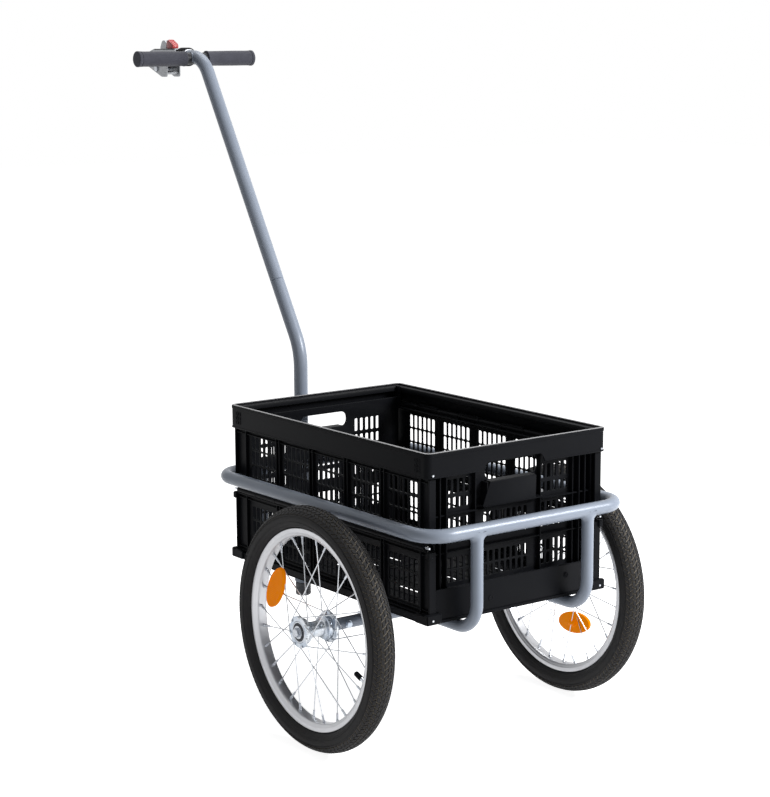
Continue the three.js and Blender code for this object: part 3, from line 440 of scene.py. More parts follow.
@dataclass(frozen=True)
class MouldedSeal(Finish):
    """Black nitrile rubber of a bearing's shield: smooth and dull."""

    # The mould's grain is about 0.2 mm; it is drawn at 1.2 mm.
    name: str = "moulded_nitrile_seal"
    slot: str = "bright_steel"
    colour: str = "#4d4f54"
    shade: str = "#44464b"
    roughness: float = 0.6
    specular: float = 0.3
    grain_mm: float = 1.2
    grain_depth_mm: float = 0.02
    cloud_mm: float = 10.0


PAINT, PLASTIC, RUBBER = PowderCoat(), MouldedPolypropylene(), TyreRubber()
DUST, ZINC = DustyRubber(), ZincPlate()
WIRE, STEEL, ALLOY, AMBER = DrawnWire(), TurnedSteel(), AnodisedAluminium(), MouldedAcrylic()
FOAM, WAX, NYLON, ENAMEL = FoamedGrip(), MouldedPolyethylene(), MouldedNylon(), StovedEnamel()
SEAL, TOP_HIGHLIGHT, PHOSPHATE = MouldedSeal(), TopHighlightPolypropylene(), PhosphatedSteel()


# Routes and outlines that several pieces share.


def bent(corners: Sequence[Vector], radii: Sequence[float], steps: int = 10,
         closed: bool = False) -> list[Vector]:
    """Rounds each inner corner of a route to its bend radius.

    Args:
        corners: the route's corner points.
        radii: a bend radius for each corner; 0 keeps the corner.
        steps: spans in each bend.
        closed: whether the last corner leads back to the first.

    Returns:
        The stations of the route.
    """
    stations: list[Vector] = []
    count = len(corners)
    for i, corner in enumerate(corners):
        if radii[i] <= 0 or (not closed and i in (0, count - 1)):
            stations.append(Vector(corner))
            continue
        toward = (corners[i - 1] - corner).normalized()
        away = (corners[(i + 1) % count] - corner).normalized()
        half = toward.angle(away) / 2
        centre = corner + (toward + away).normalized() * (radii[i] / math.sin(half))
        start = corner + toward * (radii[i] / math.tan(half)) - centre
        turn = away.cross(toward).normalized()
        sweep = math.pi - 2 * half
        stations += [centre + Matrix.Rotation(sweep * k / steps, 3, turn) @ start for k in range(steps + 1)]
    return stations


def eased(corners: Sequence[Flat], radius: float, steps: int = 4) -> list[Flat]:
    """Rounds every corner of a flat outline, each as far as its sides allow.

    Args:
        corners: the outline's corners.
        radius: the radius wanted at each corner.
        steps: spans in each corner.

    Returns:
        The rounded outline.
    """
    points = [Vector((u, v, 0)) for u, v in corners]
    radii = []
    for i, point in enumerate(points):
        before, after = points[i - 1] - point, points[(i + 1) % len(points)] - point
        reach = 0.48 * min(before.length, after.length)
        half = before.angle(after) / 2
        radii.append(min(radius, reach * math.tan(half)) if half < 1.55 else 0.0)
    return [(p.x, p.y) for p in bent(points, radii, steps, True)]


def rectangle(u0: float, u1: float, v0: float, v1: float, radius: float = 0.0, steps: int = 4) -> list[Flat]:
    """Draws a rectangle between stated edges, with rounded corners."""
    corners = [(u0, v0), (u1, v0), (u1, v1), (u0, v1)]
    return eased(corners, radius, steps) if radius > 0 else corners


def circle(radius: float, count: int = 20) -> list[Flat]:
    """Draws a circle as a closed row of points."""
    turns = [math.tau * k / count for k in range(count)]
    return [(radius * math.cos(turn), radius * math.sin(turn)) for turn in turns]


def flowing(points: Sequence[Flat], steps: int = 4) -> list[Flat]:
    """Draws a smooth open line through the points, by the four points round each span.

    Args:
        points: the points that it passes through.
        steps: short lengths in each span.

    Returns:
        The line's points, with both ends.
    """
    flow: list[Flat] = []
    for i in range(len(points) - 1):
        p0, p1, p2, p3 = (Vector(points[min(max(j, 0), len(points) - 1)]) for j in range(i - 1, i + 3))
        for k in range(steps):
            t = k / steps
            spot = 0.5 * (2 * p1 + (p2 - p0) * t + (2 * p0 - 5 * p1 + 4 * p2 - p3) * t * t
                          + (3 * p1 - p0 - 3 * p2 + p3) * t ** 3)
            flow.append((spot.x, spot.y))
    return [*flow, tuple(points[-1])]


def fillet(centre: Vector, branch: Vector, branch_radius: float, main: Vector, main_radius: float,
           reach: float, steps: int = 8, count: int = 40) -> list[list[Vector]]:
    """Draws the rings of a round fillet that runs out from a branch tube onto a main tube.

    Args:
        centre: where the two centre lines cross.
        branch: the direction in which the branch leaves.
        branch_radius: the branch tube's radius.
        main: the main tube's direction.
        main_radius: the main tube's radius.
        reach: the fillet's radius along the main tube.
        steps: spans from the branch to the main tube.
        count: points on each ring.

    Returns:
        Closed rings from the branch to the main tube's skin, a hair inside both tubes at their ends.
    """
    inside_branch, inside_main = 0.15, 0.3
    side = branch.cross(main)
    room = max(main_radius - branch_radius - 0.2, 0.1)
    rings = []
    for step in range(steps + 1):
        phi = math.pi / 2 * step / steps
        ring = []
        for k in range(count):
            theta = math.tau * k / count
            flare = reach * math.cos(theta) ** 2 + room * math.sin(theta) ** 2
            radius = branch_radius - inside_branch + (1 - math.cos(phi)) * flare
            across, along = radius * math.sin(theta), radius * math.cos(theta)
            skin = math.sqrt(max(main_radius ** 2 - across ** 2, 0.0))
            height = skin - inside_main + reach * (1 - math.sin(phi))
            ring.append(centre + branch * height + main * along + side * across)
        rings.append(ring)
    return rings


def pipe(low: float, high: float, bore: float, outer: float, edge: float) -> list[Flat]:
    """Draws a pipe's profile between its ends, chamfered outside and inside, as (distance along, radius)."""
    return [(low, bore + 0.5), (low, outer - edge), (low + edge, outer), (high - edge, outer),
            (high, outer - edge), (high, bore + 0.5), (high - 0.5, bore), (low + 0.5, bore)]


def both_ways(half: Sequence[Flat]) -> list[Flat]:
    """Closes one half of a profile with its mirror image."""
    return [*half, *((-along, radius) for along, radius in reversed(half))]


def ripple(step: int) -> float:
    """Gives the swell of a weld bead at a station, one ripple to three stations."""
    return 1.0 + 0.12 * math.cos(math.tau * step / 3)


class Lay(Enum):
    """The way a flat shape faces, with the rows that turn (first, second, through) to X, Y and Z."""

    ACROSS = ((0, 0, 1), (1, 0, 0), (0, 1, 0))
    ALONG = ((1, 0, 0), (0, 0, 1), (0, 1, 0))
    UP = ((1, 0, 0), (0, 1, 0), (0, 0, 1))

    def turn(self) -> Matrix:
        """Gives the turn as a matrix."""
        return Matrix(self.value).to_4x4()


class Side(Enum):
    """The two sides of the trailer, seen from behind it."""

    LEFT = -1
    RIGHT = 1

    def named(self, piece: str) -> str:
        """Puts the side's name before a piece's name."""
        return f"{self.name.lower()}_{piece}"


# The workpiece: closed skins that become one dressed piece.


@dataclass
class Workpiece:
    """One piece being made: closed skins gathered in millimetres, each with the finish it takes.

    The shift is how far the axle lies along Y in the scene, in metres.
    """

    shift: ClassVar[float] = 0.0

    node: str
    body: str
    finish: Finish
    place: Matrix = field(default_factory=lambda: Matrix.Identity(4))
    points: list[Vector] = field(default_factory=list)
    faces: list[tuple[int, ...]] = field(default_factory=list)
    marks: list[int] = field(default_factory=list)
    finishes: list[Finish] = field(default_factory=list)

    def __post_init__(self) -> None:
        """Starts with the piece's main finish."""
        self.finishes = self.finishes or [self.finish]

    def using(self, finish: Finish) -> "Workpiece":
        """Sets the finish of what is made next.

        Args:
            finish: that finish.

        Returns:
            The piece itself.
        """
        if finish not in self.finishes:
            self.finishes.append(finish)
        self.finish = finish
        return self

    def skin(self, points: Sequence[Vector], faces: Sequence[tuple[int, ...]]) -> None:
        """Adds a closed skin.

        Args:
            points: its points, in the piece's own place.
            faces: its faces as numbers of those points.
        """
        start = len(self.points)
        self.points += [self.place @ Vector(p) for p in points]
        self.faces += [tuple(start + i for i in face) for face in faces]
        self.marks += [self.finishes.index(self.finish)] * len(faces)

    def refinish(self, finish: Finish, above: float) -> None:
        """Gives another finish to the faces that stand above a height.

        Args:
            finish: their new finish.
            above: the height from the ground that a face's middle must pass.
        """
        kept = self.finish
        mark = self.using(finish).finishes.index(finish)
        self.finish = kept
        for i, face in enumerate(self.faces):
            if sum(self.points[k].z for k in face) / len(face) > above:
                self.marks[i] = mark

    def loft(self, rings: Sequence[Sequence[Vector]], looped: bool = False) -> None:
        """Joins rings of equal count into one closed skin.

        Args:
            rings: closed rows of points, in order.
            looped: whether the last ring joins the first; if not, both end rings are filled.
        """
        size, count = len(rings[0]), len(rings)
        points = [point for ring in rings for point in ring]
        faces: list[tuple[int, ...]] = []
        for i in range(count if looped else count - 1):
            here, there = i * size, (i + 1) % count * size
            faces += [(here + k, here + (k + 1) % size, there + (k + 1) % size, there + k)
                      for k in range(size)]
        if not looped:
            faces += [tuple(range(size)), tuple((count - 1) * size + k for k in range(size))]
        self.skin(points, faces)

    def sweep(self, route: Sequence[Vector], section: Sequence[Flat], closed: bool = False,
              swell: Optional[Callable[[int], float]] = None, up: Vector = Vector((0, 0, 1))) -> None:
        """Carries a flat section along a route.

        Args:
            route: the stations of the route.
            section: a closed outline; its first number lies to the right of the route, its second upwards.
            closed: whether the route leads back to its start.
            swell: gives the section's scale at a station.
            up: the upward direction at the start.
        """
        count = len(route)
        tangents = []
        for i in range(count):
            before = route[i - 1] if closed or i else route[0]
            after = route[(i + 1) % count] if closed or i < count - 1 else route[-1]
            tangents.append((after - before).normalized())
        side = tangents[0].cross(up).normalized()
        rings = []
        for i, (spot, along) in enumerate(zip(route, tangents)):
            if i:
                side = tangents[i - 1].rotation_difference(along) @ side
            side = (side - along * side.dot(along)).normalized()
            rise = side.cross(along)
            size = swell(i) if swell else 1.0
            rings.append([spot + side * (u * size) + rise * (v * size) for u, v in section])
        self.loft(rings, closed)

    def tube(self, route: Sequence[Vector], radius: float, facets: int = 28, closed: bool = False,
             swell: Optional[Callable[[int], float]] = None) -> None:
        """Makes a round bar along a route.

        Args:
            route: the stations of the route.
            radius: the bar's radius.
            facets: spans round the bar.
            closed: whether the route leads back to its start.
            swell: gives the bar's scale at a station.
        """
        along = (route[1] - route[0]).normalized()
        up = Vector((0, 0, 1)) if abs(along.z) < 0.9 else Vector((1, 0, 0))
        self.sweep(route, circle(radius, facets), closed, swell, up)

    def turned(self, profile: Sequence[Flat], origin: Vector, axis: Vector, facets: int = 40) -> None:
        """Turns a closed profile about an axis.

        Args:
            profile: points of (distance along the axis, radius).
            origin: the point on the axis where the distance is 0.
            axis: the axis's direction.
            facets: spans round the axis.
        """
        axis = axis.normalized()
        side = axis.orthogonal().normalized()
        rise = axis.cross(side)
        rings = []
        for k in range(facets):
            angle = math.tau * k / facets
            out = side * math.cos(angle) + rise * math.sin(angle)
            rings.append([origin + axis * a + out * r for a, r in profile])
        self.loft(rings, True)

    def block(self, low: Sequence[float], high: Sequence[float], edge: float = 0.5) -> None:
        """Makes a block between two corners, with chamfered edges.

        Args:
            low: its corner with the lower numbers.
            high: its corner with the higher numbers.
            edge: the chamfer's width.
        """
        edge = min(edge, 0.22 * min(high[k] - low[k] for k in range(3)))
        rings = []
        for z, inset in ((low[2], edge), (low[2] + edge, 0.0), (high[2] - edge, 0.0), (high[2], edge)):
            x0, y0, x1, y1 = low[0] + inset, low[1] + inset, high[0] - inset, high[1] - inset
            rings.append([Vector((u, v, z)) for u, v in (
                (x0 + edge, y0), (x1 - edge, y0), (x1, y0 + edge), (x1, y1 - edge),
                (x1 - edge, y1), (x0 + edge, y1), (x0, y1 - edge), (x0, y0 + edge))])
        self.loft(rings)

    def plate(self, outline: Sequence[Flat], lay: Lay, low: float, high: float,
              holes: Sequence[Sequence[Flat]] = (), edge: float = 0.4) -> None:
        """Makes a flat plate with holes and rounded edges.

        Args:
            outline: the plate's outline.
            lay: the way the plate faces.
            low: where it starts, through its thickness.
            high: where it ends.
            holes: outlines of its holes.
            edge: the radius of its edges.
        """
        curve = bpy.data.curves.new("blank", "CURVE")
        curve.dimensions, curve.fill_mode = "2D", "BOTH"
        curve.bevel_depth, curve.bevel_resolution = edge, 1
        curve.extrude, curve.offset = (high - low) / 2 - edge, -edge
        for loop in (outline, *holes):
            spline = curve.splines.new("POLY")
            spline.points.add(len(loop) - 1)
            for point, (u, v) in zip(spline.points, loop):
                point.co = (u, v, 0, 1)
            spline.use_cyclic_u = True
        blank = bpy.data.objects.new("blank", curve)
        mesh = bpy.data.meshes.new_from_object(blank)
        turn = lay.turn() @ Matrix.Translation((0, 0, (low + high) / 2))
        self.skin([turn @ v.co for v in mesh.vertices], [tuple(p.vertices) for p in mesh.polygons])
        bpy.data.objects.remove(blank)
        bpy.data.curves.remove(curve)
        bpy.data.meshes.remove(mesh)

    def hexagon(self, origin: Vector, axis: Vector, radius: float, height: float) -> None:
        """Makes a hexagon head with the chamfer that its corners are turned to.

        Args:
            origin: the middle of its seat.
            axis: the direction from the seat to its top.
            radius: from its middle to a corner.
            height: from its seat to its top.
        """
        axis = axis.normalized()
        side = axis.orthogonal().normalized()
        rise = axis.cross(side)
        flat = radius * math.cos(math.pi / 6)

        def ring(along: Callable[[bool], float], reach: Callable[[bool], float]) -> list[Vector]:
            """Draws one ring of six corners and six mid-sides.

            Args:
                along: gives the height of a corner, or of a mid-side.
                reach: gives its distance from the axis.

            Returns:
                The ring's points.
            """
            spots = []
            for k in range(12):
                angle, at_corner = math.tau * k / 12, k % 2 == 0
                out = side * math.cos(angle) + rise * math.sin(angle)
                spots.append(origin + axis * along(at_corner) + out * reach(at_corner))
            return spots

        def full(at_corner: bool) -> float:
            """The hexagon's own radius."""
            return radius if at_corner else flat

        chamfer = 0.3 * (radius - flat) + 0.12 * height
        self.loft([
            ring(lambda c: 0.0, full),
            ring(lambda c: height - (chamfer if c else 0.1), full),
            ring(lambda c: height, lambda c: flat * 0.94),
        ])

    def bolt(self, centre: Vector, axis: Vector, radius: float, span: float) -> None:
        """Makes a bolt through a span, with washers, a hexagon head and a locking nut.

        Args:
            centre: the middle of the span.
            axis: the direction from the nut to the head.
            radius: the shank's radius.
            span: what the bolt holds together, along its axis.
        """
        half = span / 2 + 0.3
        head = radius * 1.85
        washer = [(0, radius * 0.6), (0, head * 1.12), (0.8, head * 1.12), (0.8, radius * 0.6)]
        for way in (1, -1):
            face = centre + axis * (way * half)
            self.turned(washer, face, axis * way)
            self.hexagon(face + axis * (way * 0.8), axis * way, head, radius * 1.1)
        nut = centre - axis * (half + 0.8 + radius * 1.1)
        collar = [(-1, 0), (-1, head * 0.7), (0.9, head * 0.66), (1.1, radius),
                  (2.2, radius * 0.8), (2.2, 0)]
        self.turned(collar, nut, -axis)
        self.turned([(-half, 0), (-half, radius), (half, radius), (half, 0)], centre, axis, 16)

    def bead(self, route: Sequence[Vector], radius: float = 2.2, closed: bool = True) -> None:
        """Lays a rippled weld bead along a line."""
        self.tube(route, radius, 8, closed, ripple)

    def loose(self) -> bpy.types.Object:
        """Puts what is made so far into a loose object, still in millimetres.

        Returns:
            That object.
        """
        mesh = bpy.data.meshes.new("loose")
        mesh.from_pydata([tuple(p) for p in self.points], [], self.faces)
        for face, mark in zip(mesh.polygons, self.marks):
            face.material_index = mark
        tidy(mesh, 1e-3)
        thing = bpy.data.objects.new("loose", mesh)
        bpy.context.scene.collection.objects.link(thing)
        return thing

    def cut(self, tool: "Workpiece") -> None:
        """Takes a tool's volume away from what is made so far.

        Args:
            tool: a closed skin of that volume.
        """
        whole, cutter = self.loose(), tool.loose()
        change = whole.modifiers.new("cut", "BOOLEAN")
        change.operation, change.solver, change.object = "DIFFERENCE", "EXACT", cutter
        ready = whole.evaluated_get(bpy.context.evaluated_depsgraph_get())
        mesh = bpy.data.meshes.new_from_object(ready)
        self.points = [v.co.copy() for v in mesh.vertices]
        self.faces = [tuple(p.vertices) for p in mesh.polygons]
        self.marks = [min(p.material_index, len(self.finishes) - 1) for p in mesh.polygons]
        for thing in (whole, cutter):
            spare = thing.data
            bpy.data.objects.remove(thing)
            bpy.data.meshes.remove(spare)
        bpy.data.meshes.remove(mesh)

    def done(self) -> bpy.types.Object:
        """Turns the piece into a dressed object on its body.

        Returns:
            The finished object.
        """
        mesh = bpy.data.meshes.new(f"{self.node}_skin")
        place = [(p.x * METRES, p.y * METRES + Workpiece.shift, p.z * METRES) for p in self.points]
        mesh.from_pydata(place, [], self.faces)
        for finish in self.finishes:
            mesh.materials.append(finish.material())
        for face, mark in zip(mesh.polygons, self.marks):
            face.material_index = mark
        tidy(mesh, 1e-6)
        mesh.shade_smooth()
        mesh.set_sharp_from_angle(angle=SHARP)
        thing = bpy.data.objects.new(f"{self.node}_dressed", mesh)
        bpy.context.scene.collection.objects.link(thing)
        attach(thing, self.body)
        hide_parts(self.node)
        LOG.info("%s on %s: %d faces", thing.name, self.body, len(mesh.polygons))
        return thing


def tidy(mesh: bpy.types.Mesh, distance: float) -> None:
    """Welds points that coincide, drops what has no area and turns every skin outwards.

    Args:
        mesh: the mesh to tidy.
        distance: how close points are to be welded, in the mesh's own unit.
    """
    work = bmesh.new()
    work.from_mesh(mesh)
    bmesh.ops.remove_doubles(work, verts=work.verts, dist=distance)
    bmesh.ops.recalc_face_normals(work, faces=work.faces)
    work.to_mesh(mesh)
    work.free()


X, Y, Z = Vector((1, 0, 0)), Vector((0, 1, 0)), Vector((0, 0, 1))


# The welded tube frame.


@dataclass
class TubeFrame:
    """The welded frame: a closed ring round the box, two U rails, plates, axle tube and pole socket."""

    tube: float = 11.0
    ring_half: float = 201.5
    ring_rear: float = -223.0
    ring_front: float = 379.0
    ring_height: float = 381.5
    corner: float = 45.0
    rail: float = 10.0
    rail_x: float = 114.5
    rail_shift: float = 6.0
    rail_height: float = 220.3
    rear_bend: float = 45.0
    front_bend: float = 27.0
    rail_fillet: float = 10.0
    cross_fillet: float = 4.0
    cross: float = 9.0
    cross_height: float = 275.0
    rear_plate_y: float = -98.0
    front_plate_y: float = 265.0
    plate_half: float = 165.0
    plate_width: float = 32.0
    plate_low: float = 230.6
    plate_high: float = 234.6
    axle_radius: float = 10.0
    axle_bore: float = 8.3
    axle_half: float = 226.9
    axle_height: float = 200.0
    socket_y: float = 413.0
    socket_outer: float = 15.5
    socket_bore: float = 12.8
    socket_low: float = 150.0
    socket_high: float = 425.0
    web: float = 6.0
    bolt_height: float = 408.75

    def ring(self) -> None:
        """Bends the ring from one length of tube."""
        x, y0, y1, z = self.ring_half, self.ring_rear, self.ring_front, self.ring_height
        corners = [Vector(p) for p in ((x, y0, z), (x, y1, z), (-x, y1, z), (-x, y0, z))]
        piece = Workpiece("ring_tube", "frame", PAINT)
        piece.tube(bent(corners, [self.corner] * 4, 16, True), self.tube, 32, True)
        piece.done()

    def side_rail(self, side: Side) -> None:
        """Bends one rail under the box and welds its ends to the ring.

        Args:
            side: the side of the trailer that it runs on.
        """
        x, z = side.value * self.rail_x + self.rail_shift, self.ring_height
        corners = [Vector(p) for p in ((x, self.ring_rear, z - 3), (x, self.ring_rear, self.rail_height),
                                       (x, self.ring_front, self.rail_height), (x, self.ring_front, z - 3))]
        piece = Workpiece(side.named("rail"), "frame", PAINT)
        piece.tube(bent(corners, [0, self.rear_bend, self.front_bend, 0], 14), self.rail)
        for y in (self.ring_rear, self.ring_front):
            piece.loft(fillet(Vector((x, y, z)), -Z, self.rail, X, self.tube, self.rail_fillet))
        piece.done()

    def cross_plate(self, name: str, y: float) -> None:
        """Presses a flat plate that carries the box, welded down on both rails.

        Args:
            name: the node that it stands for.
            y: where its middle lies, forward of the axle.
        """
        half, wide = self.plate_half, self.plate_width / 2
        piece = Workpiece(name, "frame", PAINT)
        outline = rectangle(-half, half, y - wide, y + wide, 8, 5)
        piece.plate(outline, Lay.UP, self.plate_low, self.plate_high, edge=0.7)
        for x in (self.rail_shift - self.rail_x, self.rail_shift + self.rail_x):
            for way in (-1, 1):
                line = [Vector((x + way * 4.2, y - 13 + 1.3 * k, self.plate_low - 0.9)) for k in range(21)]
                piece.bead(line, 1.4, False)
        piece.done()

    def cross_tube(self) -> None:
        """Joins the rails' front uprights below the ring."""
        centre = Vector((self.rail_shift, self.ring_front, self.cross_height))
        reach = X * (self.rail_x - 2)
        piece = Workpiece("front_cross_tube", "frame", PAINT)
        piece.tube([centre - reach, centre + reach], self.cross)
        for way in (-1, 1):
            end = centre + X * (way * self.rail_x)
            piece.loft(fillet(end, X * -way, self.cross, Z, self.rail, self.cross_fillet))
        piece.done()

    def axle_tube(self) -> None:
        """Makes the axle tube with its open ends and the welds that hold the rails on it."""
        half, outer = self.axle_half, self.axle_radius
        centre = Vector((0, 0, self.axle_height))
        piece = Workpiece("axle_tube", "frame", PAINT)
        piece.turned(pipe(-half, half, self.axle_bore, outer, 0.6), centre, X)
        for x in (self.rail_shift - self.rail_x, self.rail_shift + self.rail_x):
            contact = Vector((x, 0, self.axle_height + outer))
            turns = [math.tau * k / 24 for k in range(24)]
            piece.bead([contact + X * (5 * math.cos(turn)) + Y * (5 * math.sin(turn)) for turn in turns], 1.6)
        piece.done()

    def socket(self) -> None:
        """Makes the pole's sleeve with its web, welds and bolt."""
        outer, bore = self.socket_outer, self.socket_bore
        middle = Vector((0, self.socket_y, 0))
        piece = Workpiece("pole_socket", "frame", PAINT)
        piece.turned(pipe(self.socket_low, self.socket_high, bore, outer, 0.7), middle, Z)
        web_low, web_high = self.cross_height - self.cross, self.ring_height + self.tube
        near, far = self.ring_front + 5, self.socket_y - bore - 1
        piece.block((-self.web / 2, near, web_low), (self.web / 2, far, web_high), 0.8)
        for way in (-1, 1):
            line = [Vector((way * 3.4, self.socket_y - 15.2, web_low + 2 + 2 * k))
                    for k in range(int((web_high - web_low) / 2) - 1)]
            piece.bead(line, 1.9, False)
        piece.done()
        bolt = Workpiece("socket_bolt", "frame", ZINC)
        bolt.bolt(Vector((0, self.socket_y, self.bolt_height)), X, M6, outer * 2)
        bolt.done()

    def build(self) -> None:
        """Makes the whole frame."""
        self.ring()
        for side in Side:
            self.side_rail(side)
        self.cross_plate("rear_cross_plate", self.rear_plate_y)
        self.cross_plate("front_cross_plate", self.front_plate_y)
        self.cross_tube()
        self.axle_tube()
        self.socket()


# The running gear: two wheels with their stub axles.


@dataclass
class RunningGear:
    """One wheel with its stub axle, turned about X; its outer side faces +X before it is put in place."""

    side: Side
    turned_by: float
    track: float = 261.5
    axle_height: float = 200.0
    radius: float = 200.0
    hub_half: float = 30.0
    flange: float = 4.0
    hole_circle: float = 23.6
    spokes: int = 28
    spoke_radius: float = 0.95
    spoke_sweep: float = math.radians(64)
    nipple_end: float = 150.4
    tread_rows: tuple[float, ...] = (-19.4, -14.2, -8.6, -2.9, 2.9, 8.6, 14.2, 19.4)
    tread_blocks: int = 116
    tyre_spans: int = 128
    crown_half: float = 21.0
    crown_rise: float = 19.6
    casing_half: float = 22.1
    casing_radius: float = 178.6
    valve_angle: float = math.radians(321.43)
    reflector_circle: float = 98.6
    reflector_angle: float = math.radians(130.01)
    reflector_x: float = 13.2
    reflector_tilt: float = math.radians(2.7)
    lens_half: float = 19.0
    lens_reach: float = 40.0
    prism: float = 1.75
    axle_bolt_x: float = 200.9

    @property
    def axle(self) -> Matrix:
        """The axle's place, with the outer side of this wheel towards its own +X."""
        turn = Matrix.Rotation(math.pi if self.side is Side.LEFT else 0.0, 4, "Z")
        return Matrix.Translation((0, 0, self.axle_height)) @ turn

    @property
    def wheel(self) -> Matrix:
        """The wheel's place, turned as it stands in the picture."""
        return self.axle @ Matrix.Translation((self.track, 0, 0)) @ Matrix.Rotation(self.turned_by, 4, "X")

    def piece(self, name: str, finish: Finish, turning: bool = True) -> Workpiece:
        """Starts a piece of this side, on the wheel or on the axle."""
        body = self.side.named("wheel") if turning else "frame"
        return Workpiece(self.side.named(name), body, finish, self.wheel if turning else self.axle)

    @staticmethod
    def polar(x: float, radius: float, angle: float) -> Vector:
        """Gives a point of the wheel from its radius and angle."""
        return Vector((x, radius * math.cos(angle), radius * math.sin(angle)))

    def crown(self, across: float, lift: float = 0.0) -> Flat:
        """Gives (x, radius) of the casing at a distance across the crown, and lift mm above it."""
        phi = across / self.crown_half
        return ((self.casing_half + lift) * math.sin(phi),
                self.casing_radius + (self.crown_rise + lift) * math.cos(phi))

    def tyre(self) -> None:
        """Moulds the tyre: bead, rounded sidewalls with their mould lines, and a tread of real blocks."""
        wall = flowing([(10.4, 158.9), (10.5, 164.6), (13.2, 166.3), (17.2, 168.7), (20.8, 172.8),
                        (self.casing_half, self.casing_radius)], 4)
        wall = [p for p in wall if p[1] < 178.0]
        crown = [self.crown(self.crown_half * math.pi / 2 * (1 - k / 14)) for k in range(15)]
        right = wall + crown
        profile = right + [(-x, r) for x, r in reversed(right[:-1])]
        piece = self.piece("tyre", RUBBER)
        piece.turned(profile, Vector(), X, self.tyre_spans)
        bed = [self.crown(-22.5 + 2.5 * k, 0.2) for k in range(19)]
        under = [self.crown(22.5 - 2.5 * k, -1.0) for k in range(19)]
        piece.using(DUST).turned([*bed, *under], Vector(), X, self.tyre_spans)
        piece.using(RUBBER)
        for way in (-1, 1):
            for x, r in ((18.4, 169.9), (21.9, 175.6), (21.3, 186.0)):
                turns = [math.tau * k / self.tyre_spans for k in range(self.tyre_spans)]
                piece.tube([self.polar(way * x, r, turn) for turn in turns], 0.55, 6, True)
        for row, across in enumerate(self.tread_rows):
            self.tread_row(piece, row, across)
        piece.done()

    def tread_row(self, piece: Workpiece, row: int, across: float) -> None:
        """Adds one row of slanted blocks round the tread.

        Args:
            piece: the tyre.
            row: the row's number, which sets its stagger.
            across: the row's distance from the crown's middle.
        """
        shoulder = abs(across) > 18
        half, height = (2.5, 1.5) if not shoulder else (2.9, 1.3)
        pitch = math.tau / self.tread_blocks
        slant = pitch * (0.30 if across > 0 else -0.30) * (1 if row % 2 else -1) * (1.6 if shoulder else 1.0)
        for k in range(self.tread_blocks):
            start = pitch * (k + 0.5 * (row % 2))
            points = []
            for lift, inset in ((-0.8, 0.0), (height, 0.35)):
                for u, v in ((-1, 0.05), (1, 0.05), (1, 0.88), (-1, 0.88)):
                    x, r = self.crown(across + u * (half - inset), lift)
                    turn = inset / self.radius * (1 if v < 0.5 else -1)
                    points.append(self.polar(x, r, start + pitch * v + slant * u / 2 + turn))
            piece.skin(points, [(0, 1, 2, 3), (4, 5, 6, 7), (0, 1, 5, 4), (1, 2, 6, 5), (2, 3, 7, 6),
                                (3, 0, 4, 7)])

    def rim(self) -> None:
        """Rolls the rim: hooked flanges, flat brake tracks, a rounded well and an eyelet at every spoke."""
        right = [(10.2, 158.5), (10.8, 158.9), (10.8, 163.8), (11.2, 164.5), (12.1, 164.5), (12.6, 163.8),
                 (12.6, 157.6), (12.3, 156.9), (11.9, 156.6), (11.3, 155.3), (10.5, 153.4), (9.4, 151.9),
                 (7.8, 151.1), (4.0, 150.9)]
        piece = self.piece("rim", ALLOY)
        piece.turned(both_ways(right), Vector(), X, 144)
        for index in range(self.spokes):
            _, end = self.spoke_route(index)
            inward = -self.polar(0, 1, math.atan2(end.z, end.y))
            origin = Vector((end.x, *(-inward.yz * 151.0)))
            piece.using(STEEL).turned([(-0.5, 1.9), (-0.5, 2.9), (0.4, 2.6), (0.4, 1.9)], origin, inward, 14)
        collar = self.polar(0, 151.0, self.valve_angle)
        piece.turned([(-0.5, 3.5), (-0.5, 5.6), (0.6, 5.2), (0.6, 3.5)], collar, -collar, 20)
        piece.done()

    def spoke_route(self, index: int) -> tuple[list[Vector], Vector]:
        """Gives a spoke's bent route from its head to the rim.

        Args:
            index: the spoke's number; even ones are on the outer side.

        Returns:
            The route's stations, and its end at the nipple.
        """
        way = 1 if index % 2 == 0 else -1
        crossing = 1 if index % 4 < 2 else -1
        rim_angle = math.tau / self.spokes * (index + 0.5)
        hub_angle = rim_angle + crossing * self.spoke_sweep
        middle = self.hub_half - self.flange / 2
        head = self.polar(way * (middle - crossing * 3.0), self.hole_circle, hub_angle)
        elbow = self.polar(way * (middle + crossing * 3.1), self.hole_circle, hub_angle)
        end = self.polar(way * 1.5, self.nipple_end, rim_angle)
        return bent([head, elbow, end], [0, 2.4, 0], 5), end

